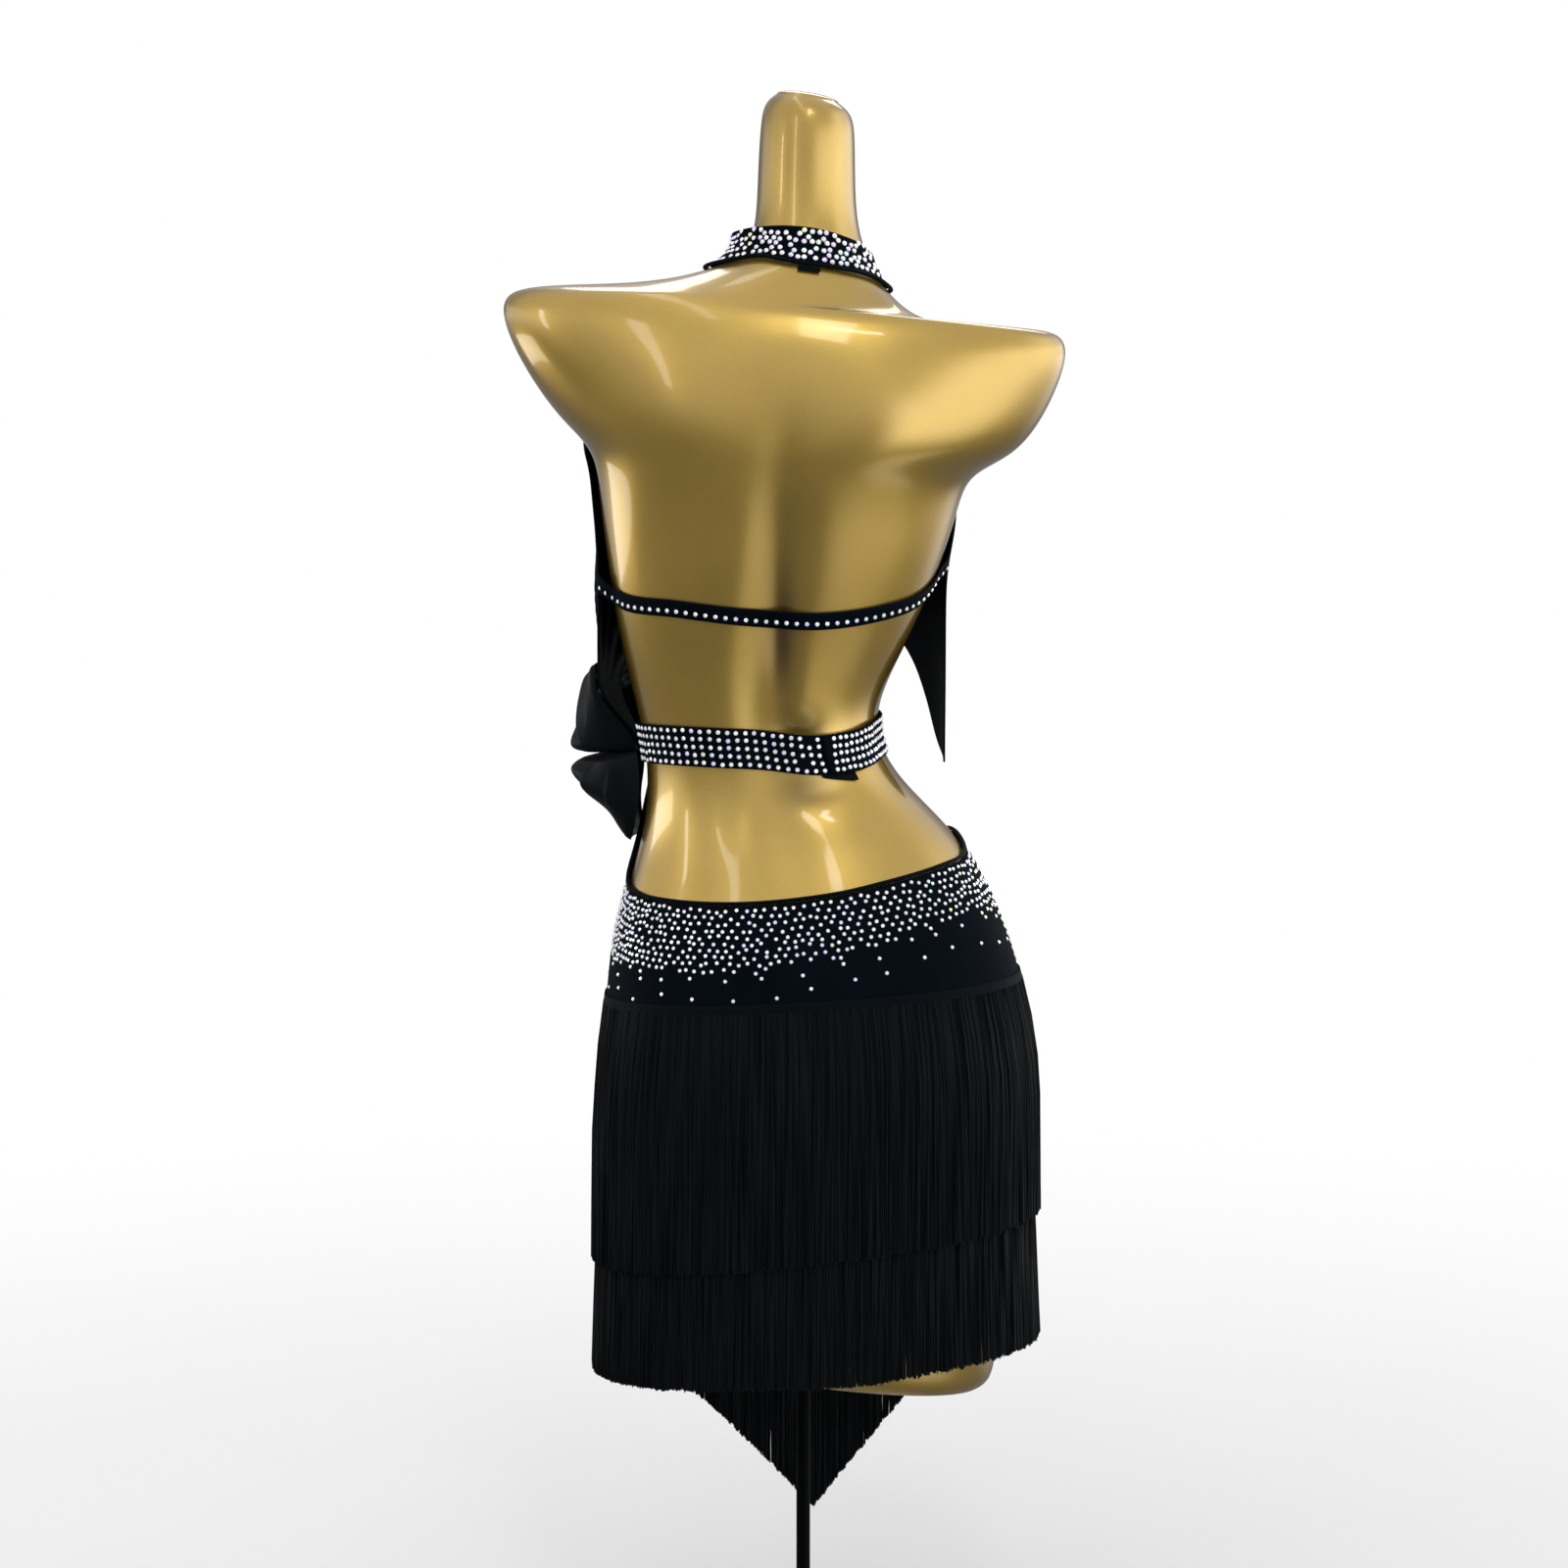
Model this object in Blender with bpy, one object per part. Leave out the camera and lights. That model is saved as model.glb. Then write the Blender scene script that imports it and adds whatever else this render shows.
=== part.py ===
"""Salsa dance dress on a limbless dress form, on a slim rod with a clear round base.

Metres, +Z up. The wearer's front faces -Y and the wearer's left is +X. The origin is the middle of
the stand's underside. The form and the cloth hang on an empty that stands LIFT above it, and every
height and level below is measured from that empty. Every piece of cloth is a thin closed wall that
is worked out from the form's surface: a point of the form is found from its turn (degrees about the
form, 0 at the wearer's left, 90 at the back, 180 at the wearer's right, 270 at the front) and its
height, and is then moved out along the surface's normal.
"""

import math
from collections import namedtuple

import bpy
import numpy as np

# ---------------------------------------------------------------- driving sizes (metres)

GAP = 0.0003  # between two pieces that are sewn or rest together
EASE = 0.0012  # between the form and the cloth that fits it
CLOTH = 0.0014  # stretch cloth with its stones' glue side

LIFT = 0.036  # from the stand's underside to the level that all heights start from
STAND_RADIUS = 0.140
STAND_THICKNESS = 0.010
STAND_EDGE = 0.002  # its bevel
POLE_RADIUS = 0.0055
FLANGE_RADIUS = 0.036
FLANGE_THICKNESS = 0.006

FORM_TURNS = 36  # sides of the form and of the cloth rings
FORM_RINGS = [  # first table row, last table row, rows between two rings: closest where it is hollow
    (0, 1, 1.0), (1, 5, 2.0), (5, 10, 1.0), (10, 17, 0.5), (17, 19, 1.0), (19, 25, 0.5),
    (25, 28, 1.0), (28, 35, 0.5), (35, 39, 1.0),
]

Section = namedtuple("Section", "level middle half_width back front tilt square")
FORM = [  # level: height at the middle; tilt: rise towards the wearer's left; square: 2 is an ellipse
    Section(0.1915, -0.009, 0.1330, 0.084, -0.088, 0.120, 2.4),
    Section(0.1965, -0.009, 0.1405, 0.090, -0.094, 0.119, 2.4),
    Section(0.2115, -0.009, 0.1445, 0.096, -0.096, 0.090, 2.4),
    Section(0.2520, -0.009, 0.1492, 0.103, -0.098, 0.020, 2.4),
    Section(0.3150, -0.009, 0.1555, 0.112, -0.100, 0.000, 2.4),
    Section(0.3750, -0.010, 0.1618, 0.122, -0.101, -0.008, 2.4),
    Section(0.4300, -0.010, 0.1658, 0.127, -0.102, -0.024, 2.4),
    Section(0.4700, -0.009, 0.1640, 0.126, -0.104, -0.045, 2.3),
    Section(0.5050, -0.007, 0.1590, 0.120, -0.106, -0.062, 2.3),
    Section(0.5400, -0.002, 0.1510, 0.110, -0.107, -0.078, 2.3),
    Section(0.5700, 0.002, 0.1410, 0.098, -0.106, -0.100, 2.3),
    Section(0.5980, 0.008, 0.1280, 0.085, -0.104, -0.120, 2.3),
    Section(0.6250, 0.016, 0.1110, 0.074, -0.101, -0.118, 2.3),
    Section(0.6550, 0.026, 0.0965, 0.066, -0.097, -0.090, 2.3),
    Section(0.6850, 0.033, 0.0905, 0.063, -0.094, -0.070, 2.3),
    Section(0.7150, 0.036, 0.0945, 0.065, -0.093, -0.040, 2.3),
    Section(0.7500, 0.033, 0.1065, 0.071, -0.095, -0.010, 2.3),
    Section(0.7900, 0.028, 0.1205, 0.079, -0.099, 0.000, 2.3),
    Section(0.8300, 0.023, 0.1310, 0.086, -0.103, 0.010, 2.3),
    Section(0.8650, 0.020, 0.1380, 0.091, -0.105, 0.025, 2.3),
    Section(0.8950, 0.018, 0.1430, 0.095, -0.105, 0.045, 2.3),
    Section(0.9100, 0.015, 0.1530, 0.097, -0.104, 0.065, 2.3),
    Section(0.9240, 0.012, 0.1740, 0.098, -0.101, 0.073, 2.2),
    Section(0.9450, 0.012, 0.1920, 0.098, -0.096, 0.074, 2.1),
    Section(0.9750, 0.014, 0.2090, 0.096, -0.088, 0.074, 2.0),
    Section(1.0030, 0.015, 0.2190, 0.090, -0.079, 0.074, 2.0),
    Section(1.0190, 0.015, 0.2160, 0.083, -0.071, 0.074, 2.0),
    Section(1.0240, 0.015, 0.2010, 0.0787, -0.0664, 0.0805, 2.0),
    Section(1.0257, 0.015, 0.1800, 0.0771, -0.0650, 0.091, 2.0),
    Section(1.0264, 0.015, 0.1500, 0.0765, -0.0643, 0.110, 2.0),
    Section(1.0284, 0.015, 0.1210, 0.0746, -0.0620, 0.127, 2.0),
    Section(1.0329, 0.013, 0.0960, 0.0706, -0.0560, 0.142, 2.0),
    Section(1.0443, 0.008, 0.0730, 0.0604, -0.0487, 0.110, 2.0),
    Section(1.0557, 0.000, 0.0560, 0.050, -0.047, 0.093, 2.0),
    Section(1.0716, -0.003, 0.0440, 0.043, -0.047, 0.068, 2.0),
    Section(1.0950, -0.002, 0.0385, 0.037, -0.049, 0.045, 2.0),
    Section(1.1300, -0.002, 0.0375, 0.033, -0.052, 0.040, 2.0),
    Section(1.1650, -0.003, 0.0365, 0.030, -0.053, 0.080, 2.0),
    Section(1.1790, -0.003, 0.0335, 0.026, -0.050, 0.120, 2.0),
    Section(1.1860, -0.003, 0.0240, 0.016, -0.041, 0.150, 2.0),
]

BUST_APART = 0.072  # from the middle to each apex
BUST_HEIGHT = 0.866
BUST_DEPTH = 0.030
BUST_SPREAD = (0.046, 0.050)  # across and up
SPINE_DEPTH = 0.007
SPINE_SPREAD = (0.020, 0.110)
SPINE_HEIGHT = 0.770
BLADE_DEPTH = 0.007
BLADE_APART = 0.082
BLADE_HEIGHT = 0.935
BLADE_SPREAD = (0.045, 0.055)

HIP_HEIGHT = 0.4300  # the widest hips, below which the skirt and the fringe hang straight
SEAM_HEIGHT = 0.4960  # bottom of the yoke at the middle
SEAM_TILT = -0.060

YOKE_TOP = [  # turn, height
    (0, 0.5910), (12, 0.5765), (30, 0.5700), (46, 0.5682), (72, 0.5688), (102, 0.5768),
    (120, 0.5852), (141, 0.5935), (165, 0.6000), (180, 0.6080), (195, 0.6110), (225, 0.6040),
    (262, 0.6000), (295, 0.6140), (318, 0.6440), (334, 0.6590), (347, 0.6330),
]
BINDING_HEIGHT = 0.0032

SKIRT_FOOT = 0.262
STRIP_HEIGHT = 0.009
STRIP_THICKNESS = 0.0012
UPPER_FLARE = ((0.2, 0.0030), (0.45, 0.0076), (1.0, 0.0090))  # share of the fall, metres further out
LOWER_FLARE = ((1.0, 0.0062),)
UPPER_STRIP_RISE = 0.004  # how far the upper strip laps over the yoke's seam
UPPER_HEM = 0.3010
UPPER_HEM_TILT = -0.125
LOWER_STRIP = 0.372
LOWER_HEM = 0.2075
LOWER_HEM_TILT = -0.085
POINT_HEIGHT = 0.0375  # the front hem's lowest strand
POINT_ACROSS = -0.009
POINT_SLOPES = (1.09, 1.32)  # rise of the front hem towards the wearer's left and right
STRAND_FILL = 0.68  # a strand's share of its place
STRAND_THICKNESS = 0.0020
UPPER_STRANDS = 42  # in each half
LOWER_STRANDS = 40
HALF_GAP = 0.25  # degrees between two halves at a side seam

BELT_ENDS = (119.0, 498.0)  # the strip laps over its own end at the back
BELT_THICKNESS = 0.0020
BELT_LIFT = 0.0026  # how far the lapping end stands out
BELT_LIFT_TURNS = (141.0, 160.0)
BELT_MIDDLE = [  # turn, height
    (0, 0.6868), (20, 0.6880), (62, 0.6888), (90, 0.6866), (117, 0.6822), (135, 0.6845),
    (155, 0.6910), (180, 0.6940), (270, 0.6895),
]
BELT_HEIGHT = 0.0292
TONGUE = (115.5, 131.0, 0.0062)  # first turn, last turn, greatest height

STRAP_LINE = [  # turn, height of the back strap's middle
    (11.2, 0.8110), (20, 0.8040), (58, 0.7955), (90, 0.7885), (110, 0.7868),
    (135, 0.7930), (160, 0.8050), (172, 0.8160), (184.9, 0.8330),
]
STRAP_WIDTH = 0.012
STRAP_FLARE_TURNS = 12.0  # where its ends rise to the bodice

COLLAR_FOOT = [  # turn, level
    (0, 1.0500), (22, 1.0545), (50, 1.0610), (80, 1.0592), (115, 1.0576), (150, 1.0545), (180, 1.0480),
    (225, 1.0458), (270, 1.0445), (315, 1.0460),
]
COLLAR_TOP = [(90, 1.0830), (40, 1.0800), (0, 1.0700), (140, 1.0760), (180, 1.0680), (270, 1.0700)]
COLLAR_LEAN = [  # turn, how much farther out the collar's top stands than its foot
    (0, 0.0115), (50, 0.0060), (100, 0.0025), (180, 0.0015), (270, 0.0025), (325, 0.0070),
]
COLLAR_BINDING = 0.0034
COLLAR_TAB = (88.0, 103.0, 0.0026)

BODICE_TOP = 1.0397
BODICE_RIGHT = [  # level, turn of the wearer's right side edge
    (0.660, 185.0), (0.760, 181.7), (0.825, 185.0), (0.850, 189.0), (0.880, 199.0), (0.905, 209.0),
    (0.924, 220.0), (0.945, 231.0), (0.975, 242.5), (1.005, 251.0), (1.019, 253.5), (1.0264, 249.3),
    (1.0329, 241.5), (1.041, 239.2),
]
BODICE_LEFT = [
    (0.660, 359.4), (0.720, 363.4), (0.780, 369.4), (0.830, 370.0), (0.885, 359.4), (0.905, 352.0),
    (0.924, 330.0), (0.945, 313.0), (0.975, 299.0), (1.005, 290.0), (1.019, 287.0), (1.0264, 291.0),
    (1.0329, 298.5), (1.041, 301.0),
]
BODICE_HEM = [  # share from the right edge to the left, level
    (0.000, 0.6730), (0.035, 0.6755), (0.122, 0.6940), (0.163, 0.7200), (0.203, 0.7450),
    (0.250, 0.7660), (0.350, 0.7840), (0.500, 0.7880), (0.620, 0.7820), (0.720, 0.7650),
    (0.800, 0.7400), (0.870, 0.7120), (0.930, 0.6900), (1.000, 0.6760),
]
BODICE_HANG = [  # turn, level from which the cloth hangs straight
    (184, 0.830), (215, 0.850), (240, 0.868), (270, 0.868), (300, 0.868), (330, 0.859), (359, 0.843),
]
BODICE_EASE = 0.0030
BODICE_SIDE_EASE = 0.0016  # more under the left arm, from a turn and up to a level
SIDE_EASE_TURN, SIDE_EASE_TOP = 325.0, 0.975
HANG_SOFTNESS = 0.012
FOLD_FROM = (350.0, 0.700)  # turn and level of the knot, where the folds start
FOLD_RADIUS = 0.125  # metres about the form for a radian of turn
FOLD_DEPTH = 0.0085
FOLD_FIRST, FOLD_LAST, FOLD_COUNT = 18.0, 88.0, 5  # degrees up from level, ridges between them
FOLD_REACH = (0.030, 0.110, 0.260)  # from the knot: rising, deepest, gone
BODICE_GRID = (31, 21)
GATHER_LEVELS = (0.690, 0.735)  # between these the drape is drawn in to the belt
GATHER_TURNS = (314.0, 336.0)

Heap = namedtuple("Heap", "level bulge front back")
KNOT = {  # each heap's rows from its foot up: how far it stands out, and the turns it covers
    "side_knot_upper": [
        Heap(0.6862, 0.054, 316, 361), Heap(0.6930, 0.073, 314, 362), Heap(0.7018, 0.0545, 311, 362),
        Heap(0.7085, 0.0385, 311, 362), Heap(0.7180, 0.025, 312, 362), Heap(0.7300, 0.014, 316, 361),
        Heap(0.7455, 0.013, 322, 358),
    ],
    "side_knot_lower": [
        Heap(0.6210, 0.010, 332, 366), Heap(0.6245, 0.018, 326, 368), Heap(0.6388, 0.0285, 320, 371),
        Heap(0.6478, 0.0435, 317, 373), Heap(0.6615, 0.054, 316, 374), Heap(0.6755, 0.058, 316, 374),
        Heap(0.6857, 0.052, 318, 372),
    ],
}
HEAP_GRID = (12, 9)
HEAP_LIFT = 0.0023  # from the drape to a heap's inner side
HEAP_FULLNESS = 0.55  # under 1 makes the heap's sides steeper
HEAP_RIDGES = (1.5, 0.060, 0.09)  # waves across it, metres up for one more, share of the bulge

# ---------------------------------------------------------------- curves and surfaces


def spline(rows, at):
    """Uniform cubic B-spline of a table, at row numbers; the first and last rows are met exactly."""
    rows = np.asarray(rows, float)
    rows = np.vstack([2 * rows[0] - rows[1], rows, 2 * rows[-1] - rows[-2]])
    at = np.clip(at, 0, len(rows) - 3)
    first = np.minimum(np.floor(at).astype(int), len(rows) - 4)
    f = (at - first)[..., None]
    weights = ((1 - f) ** 3, 3 * f**3 - 6 * f**2 + 4, -3 * f**3 + 3 * f**2 + 3 * f + 1, f**3)
    return sum(w * rows[first + i] for i, w in enumerate(weights)) / 6


def curve(table, at, period=None):
    """Smooth curve through a table's (place, value) rows; with a period it closes on itself."""
    places, values = np.array(sorted(table), float).T
    if period:
        places = np.concatenate([places - period, places, places + period])
        values = np.tile(values, 3)
    slopes = np.gradient(values, places)
    at = np.clip(np.asarray(at, float), places[0], places[-1])
    i = np.clip(np.searchsorted(places, at, "right") - 1, 0, len(places) - 2)
    span = places[i + 1] - places[i]
    f = (at - places[i]) / span
    ends = values[i] * (1 + 2 * f) * (1 - f) ** 2 + values[i + 1] * f**2 * (3 - 2 * f)
    return ends + span * (slopes[i] * f * (1 - f) ** 2 - slopes[i + 1] * f**2 * (1 - f))


def step(x):
    """0 below 0, 1 above 1, smooth between."""
    x = np.clip(x, 0, 1)
    return x * x * (3 - 2 * x)


def bell(x, spread):
    return np.exp(-((x / spread) ** 2))


def form_point(turn, row, bridged=False):
    """Point of the form at a turn and a table row; bridged cloth spans the hollow of the bust."""
    turn, row = np.broadcast_arrays(np.radians(turn), np.asarray(row, float))
    level, middle, half, back, front, tilt, square = np.moveaxis(spline(FORM, row), -1, 0)
    c, s = np.cos(turn), np.sin(turn)
    reach = (np.abs(c) ** square + np.abs(s) ** square) ** (-1 / square)
    across = half * reach * c
    z = level + tilt * across
    y = (back + front) / 2 + (back - front) / 2 * reach * s
    beyond = np.abs(across) - BUST_APART
    mound = bell(np.maximum(beyond, 0) if bridged else beyond, BUST_SPREAD[0])
    y = y - BUST_DEPTH * mound * bell(z - BUST_HEIGHT, BUST_SPREAD[1]) * step(-2 * s)
    groove = bell(across, SPINE_SPREAD[0]) * bell(z - SPINE_HEIGHT, SPINE_SPREAD[1])
    blade = bell(np.abs(across) - BLADE_APART, BLADE_SPREAD[0]) * bell(z - BLADE_HEIGHT, BLADE_SPREAD[1])
    y = y + (BLADE_DEPTH * blade - SPINE_DEPTH * groove) * step(2 * s)
    return np.stack([middle + across, y, z], -1)


ROWS = np.linspace(0, len(FORM) - 1, 2001)
LEVELS = spline(FORM, ROWS)[:, 0]


def row_at(turn, height):
    """Table row at which the form reaches a height, by correcting the level a few times."""
    height = np.asarray(height, float) + 0 * np.asarray(turn, float)
    level = height.copy()
    for _ in range(8):
        level = level + height - form_point(turn, np.interp(level, LEVELS, ROWS))[..., 2]
    return np.interp(level, LEVELS, ROWS)


def off_form(turn, row, off, bridged=False):
    """Form point moved out along the surface's normal."""
    d_turn, d_row = 0.5, 0.05
    ahead, behind = form_point(turn + d_turn, row, bridged), form_point(turn - d_turn, row, bridged)
    above, below = form_point(turn, row + d_row, bridged), form_point(turn, row - d_row, bridged)
    normal = np.cross(ahead - behind, above - below)
    normal /= np.linalg.norm(normal, axis=-1, keepdims=True)
    return form_point(turn, row, bridged) + normal * np.asarray(off, float)[..., None]


def fitted(turn, height, off):
    """Point of fitted cloth: the form at a turn and height, moved out."""
    return off_form(turn, row_at(turn, height), off + 0 * height)


def hanging(turn, height, off):
    """Point of the skirt: fitted above the widest hips, and straight down below them."""
    point = fitted(turn, np.maximum(height, HIP_HEIGHT), off)
    point[..., 2] = np.minimum(point[..., 2], height)
    return point


# ---------------------------------------------------------------- meshes


def add(name, points, faces, material, smooth=True):
    mesh = bpy.data.meshes.new(name)
    mesh.from_pydata([tuple(map(float, point)) for point in points], [], faces)
    mesh.validate()
    if smooth:
        mesh.shade_smooth()
        mesh.set_sharp_from_angle(angle=math.radians(50))
    mesh.materials.append(material)
    piece = bpy.data.objects.new(name, mesh)
    bpy.context.scene.collection.objects.link(piece)
    return piece


def hang_on(empty, pieces):
    for piece in pieces:
        piece.parent = empty


def edge_loop(rows, columns, closed):
    """Boundary edges of a grid, each in the direction in which its face runs."""
    last = columns if closed else columns - 1
    low = [(c, (c + 1) % columns) for c in range(last)]
    high = [((rows - 1) * columns + b, (rows - 1) * columns + a) for a, b in low]
    if closed:
        return low + high
    right = [(r * columns + columns - 1, (r + 1) * columns + columns - 1) for r in range(rows - 1)]
    left = [((r + 1) * columns, r * columns) for r in range(rows - 1)]
    return low + high + right + left


def wall(name, inner, outer, material, closed=False):
    """Closed wall between two grids of points, rows going up and columns with the turn."""
    rows, columns = outer.shape[:2]
    last = columns if closed else columns - 1
    cells = [
        (r * columns + c, r * columns + (c + 1) % columns,
         (r + 1) * columns + (c + 1) % columns, (r + 1) * columns + c)
        for r in range(rows - 1)
        for c in range(last)
    ]
    back = rows * columns
    faces = cells + [tuple(back + i for i in reversed(cell)) for cell in cells]
    faces += [(b, a, back + a, back + b) for a, b in edge_loop(rows, columns, closed)]
    points = np.concatenate([outer.reshape(-1, 3), inner.reshape(-1, 3)])
    return add(name, points, faces, material)


def grid(turns, low, high, rows):
    """Turns and heights of a band between two height lines."""
    share = np.linspace(0, 1, rows)[:, None]
    heights = low + (high - low) * share
    return np.broadcast_to(turns, heights.shape), heights


def band(name, turns, low, high, rows, off, thickness, material, closed=False, place=fitted):
    turn, height = grid(turns, low, high, rows)
    inner = place(turn, height, off)
    outer = place(turn, height, off + thickness)
    return wall(name, inner, outer, material, closed)


def turns_between(first, last):
    """Turns from first to last at the form's own sides, so that facets lie parallel."""
    pitch = 360 / FORM_TURNS
    inside = np.arange(math.ceil(first / pitch + 0.1), math.floor(last / pitch - 0.1) + 1) * pitch
    return np.concatenate([[first], inside, [last]])


def material(name, color, roughness, metallic=0.0, transmission=0.0):
    made = bpy.data.materials.new(name)
    made.use_nodes = True
    shader = made.node_tree.nodes["Principled BSDF"]
    shader.inputs["Base Color"].default_value = (*color, 1)
    shader.inputs["Roughness"].default_value = roughness
    shader.inputs["Metallic"].default_value = metallic
    shader.inputs["Transmission Weight"].default_value = transmission
    return made


# ---------------------------------------------------------------- pieces


def make_form(gold):
    """Torso: rings of the form's own sections, with flat ends."""
    rows = np.concatenate([np.arange(first, last, pitch) for first, last, pitch in FORM_RINGS] + [[39]])
    turns = np.arange(FORM_TURNS) * 360 / FORM_TURNS
    rings = form_point(turns[None, :], rows[:, None])
    faces = [
        (r * FORM_TURNS + c, r * FORM_TURNS + (c + 1) % FORM_TURNS,
         (r + 1) * FORM_TURNS + (c + 1) % FORM_TURNS, (r + 1) * FORM_TURNS + c)
        for r in range(len(rows) - 1)
        for c in range(FORM_TURNS)
    ]
    top = (len(rows) - 1) * FORM_TURNS
    faces.append(tuple(range(FORM_TURNS - 1, -1, -1)))
    faces.append(tuple(range(top, top + FORM_TURNS)))
    add("form_torso", rings.reshape(-1, 3), faces, gold)


def lathe(name, profile, sides, made_of):
    """Solid turned about the Z axis from (radius, height) rows that run from the foot up."""
    rows = len(profile)
    angles = np.arange(sides) * math.tau / sides
    points = [(r * math.cos(a), r * math.sin(a), z) for r, z in profile for a in angles]
    faces = []
    for k in range(rows - 1):
        low, high = k * sides, (k + 1) * sides
        for i in range(sides):
            j = (i + 1) % sides
            faces.append((low + i, low + j, high + j, high + i))
    top = (rows - 1) * sides
    faces += [tuple(range(sides - 1, -1, -1)), tuple(range(top, top + sides))]
    return add(name, points, faces, made_of)


def seat_height(x):
    """Height above the floor of the stand's seat, just under the form's slanted foot."""
    foot = FORM[0]
    return LIFT + foot.level + foot.tilt * (x - foot.middle) - GAP


def make_stand(clear, steel):
    """Round base, and a slim rod whose flange carries the form."""
    inner, upper = STAND_RADIUS - STAND_EDGE, STAND_THICKNESS - STAND_EDGE
    lathe("stand_base", [(inner, 0), (STAND_RADIUS, STAND_EDGE), (STAND_RADIUS, upper),
                         (inner, STAND_THICKNESS)], 48, clear)
    foot, top = STAND_THICKNESS + GAP, seat_height(0)
    collar = 3 * POLE_RADIUS
    pole = lathe("stand_pole", [(collar, foot), (collar, foot + FLANGE_THICKNESS),
                                (POLE_RADIUS, foot + 2 * FLANGE_THICKNESS),
                                (POLE_RADIUS, top - 3 * FLANGE_THICKNESS),
                                (FLANGE_RADIUS, top - FLANGE_THICKNESS), (FLANGE_RADIUS, top)],
                 20, steel)
    for vertex in pole.data.vertices:  # the flange lies along the form's underside
        if vertex.co.z > top - 2 * FLANGE_THICKNESS:
            vertex.co.z += seat_height(vertex.co.x) - top


def seam_height(turn):
    across = form_point(turn, row_at(turn, SEAM_HEIGHT))[..., 0]
    return SEAM_HEIGHT + SEAM_TILT * across


def halves():
    """Back and front halves: name, first turn, last turn."""
    return (("back", HALF_GAP / 2, 180 - HALF_GAP / 2), ("front", 180 + HALF_GAP / 2, 360 - HALF_GAP / 2))


def make_yoke(black):
    """Fitted hip yoke in two halves, bound along its top edge."""
    for side, first, last in halves():
        turns = turns_between(first, last)
        band(f"yoke_{side}", turns, seam_height(turns) + GAP / 2, curve(YOKE_TOP, turns, 360), 6,
             EASE, CLOTH, black)
    turns = np.arange(FORM_TURNS) * 360 / FORM_TURNS
    low = curve(YOKE_TOP, turns, 360) + 2 * GAP
    band("yoke_binding", turns, low, low + BINDING_HEIGHT, 2, EASE, 1.3 * CLOTH, black, closed=True)


def make_skirt(black):
    """Plain skirt under the fringe, in two halves."""
    for side, first, last in halves():
        turns = turns_between(first, last)
        over_hips = HIP_HEIGHT + (seam_height(turns) - GAP / 2 - HIP_HEIGHT) * np.linspace(0, 1, 5)[:, None]
        height = np.vstack([SKIRT_FOOT + 0 * turns, over_hips])
        turn = np.broadcast_to(turns, height.shape)
        wall(f"underskirt_{side}", hanging(turn, height, EASE), hanging(turn, height, EASE + CLOTH), black)


def strands(name, turns, top, hem, off, flare, black):
    """Fringe: a narrow strip whose strands are drawn down from its lower edge.

    turns holds two edges for each strand, and flare says how far the strands stand out on the way down.
    """
    columns = len(turns)
    foot = top - STRIP_HEIGHT
    rings = [(top, off, STRIP_THICKNESS), (foot, off, STRIP_THICKNESS)]
    rings += [(foot + (hem - foot) * share, off + out, STRAND_THICKNESS) for share, out in flare]
    points = []
    for height, out, thick in rings:
        points.append(hanging(turns, height, out + thick))
        points.append(hanging(turns, height, out + 0 * height))
    points = np.array(points).reshape(-1, 3)

    def outer(ring, c):
        return 2 * ring * columns + c

    def inner(ring, c):
        return (2 * ring + 1) * columns + c

    faces = [(inner(1, 0), outer(1, 0), outer(0, 0), inner(0, 0)),
             (outer(1, columns - 1), inner(1, columns - 1), inner(0, columns - 1), outer(0, columns - 1))]
    for c in range(columns - 1):
        d = c + 1
        faces += [(outer(1, c), outer(1, d), outer(0, d), outer(0, c)),
                  (inner(1, d), inner(1, c), inner(0, c), inner(0, d)),
                  (outer(0, c), outer(0, d), inner(0, d), inner(0, c))]
        if c % 2:
            faces.append((outer(1, d), outer(1, c), inner(1, c), inner(1, d)))
            continue
        for k in range(1, len(rings) - 1):
            faces += [(outer(k + 1, c), outer(k + 1, d), outer(k, d), outer(k, c)),
                      (outer(k, d), outer(k + 1, d), inner(k + 1, d), inner(k, d)),
                      (outer(k + 1, c), outer(k, c), inner(k, c), inner(k + 1, c)),
                      (inner(k + 1, d), inner(k + 1, c), inner(k, c), inner(k, d))]
        foot_ring = len(rings) - 1
        faces.append((outer(foot_ring, d), outer(foot_ring, c), inner(foot_ring, c), inner(foot_ring, d)))
    add(name, points, faces, black, smooth=False)


def strand_turns(first, last, count):
    """Both edges of each strand, which fills its share of an equal place."""
    pitch = (last - first) / count
    left = first + pitch * (np.arange(count) + (1 - STRAND_FILL) / 2)
    return np.stack([left, left + pitch * STRAND_FILL], -1).reshape(-1)


def make_fringe(black):
    """Two tiers of fringe; the lower one falls to a point in front."""
    strip_off = EASE + CLOTH + 2 * GAP
    for side, first, last in halves():
        turns = strand_turns(first, last, UPPER_STRANDS)
        across = hanging(turns, SEAM_HEIGHT + 0 * turns, 0 * turns)[:, 0]
        strands(f"fringe_upper_{side}", turns, seam_height(turns) + UPPER_STRIP_RISE,
                UPPER_HEM + UPPER_HEM_TILT * across, strip_off, UPPER_FLARE, black)
        turns = strand_turns(first, last, LOWER_STRANDS)
        across = hanging(turns, LOWER_STRIP + 0 * turns, 0 * turns)[:, 0]
        hem = LOWER_HEM + LOWER_HEM_TILT * across
        if side == "front":
            from_point = across - POINT_ACROSS
            rise = np.where(from_point > 0, POINT_SLOPES[0] * from_point, -POINT_SLOPES[1] * from_point)
            hem = np.minimum(hem, POINT_HEIGHT + rise)
        strands(f"fringe_lower_{side}", turns, LOWER_STRIP + 0 * turns, hem, strip_off, LOWER_FLARE, black)


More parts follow.
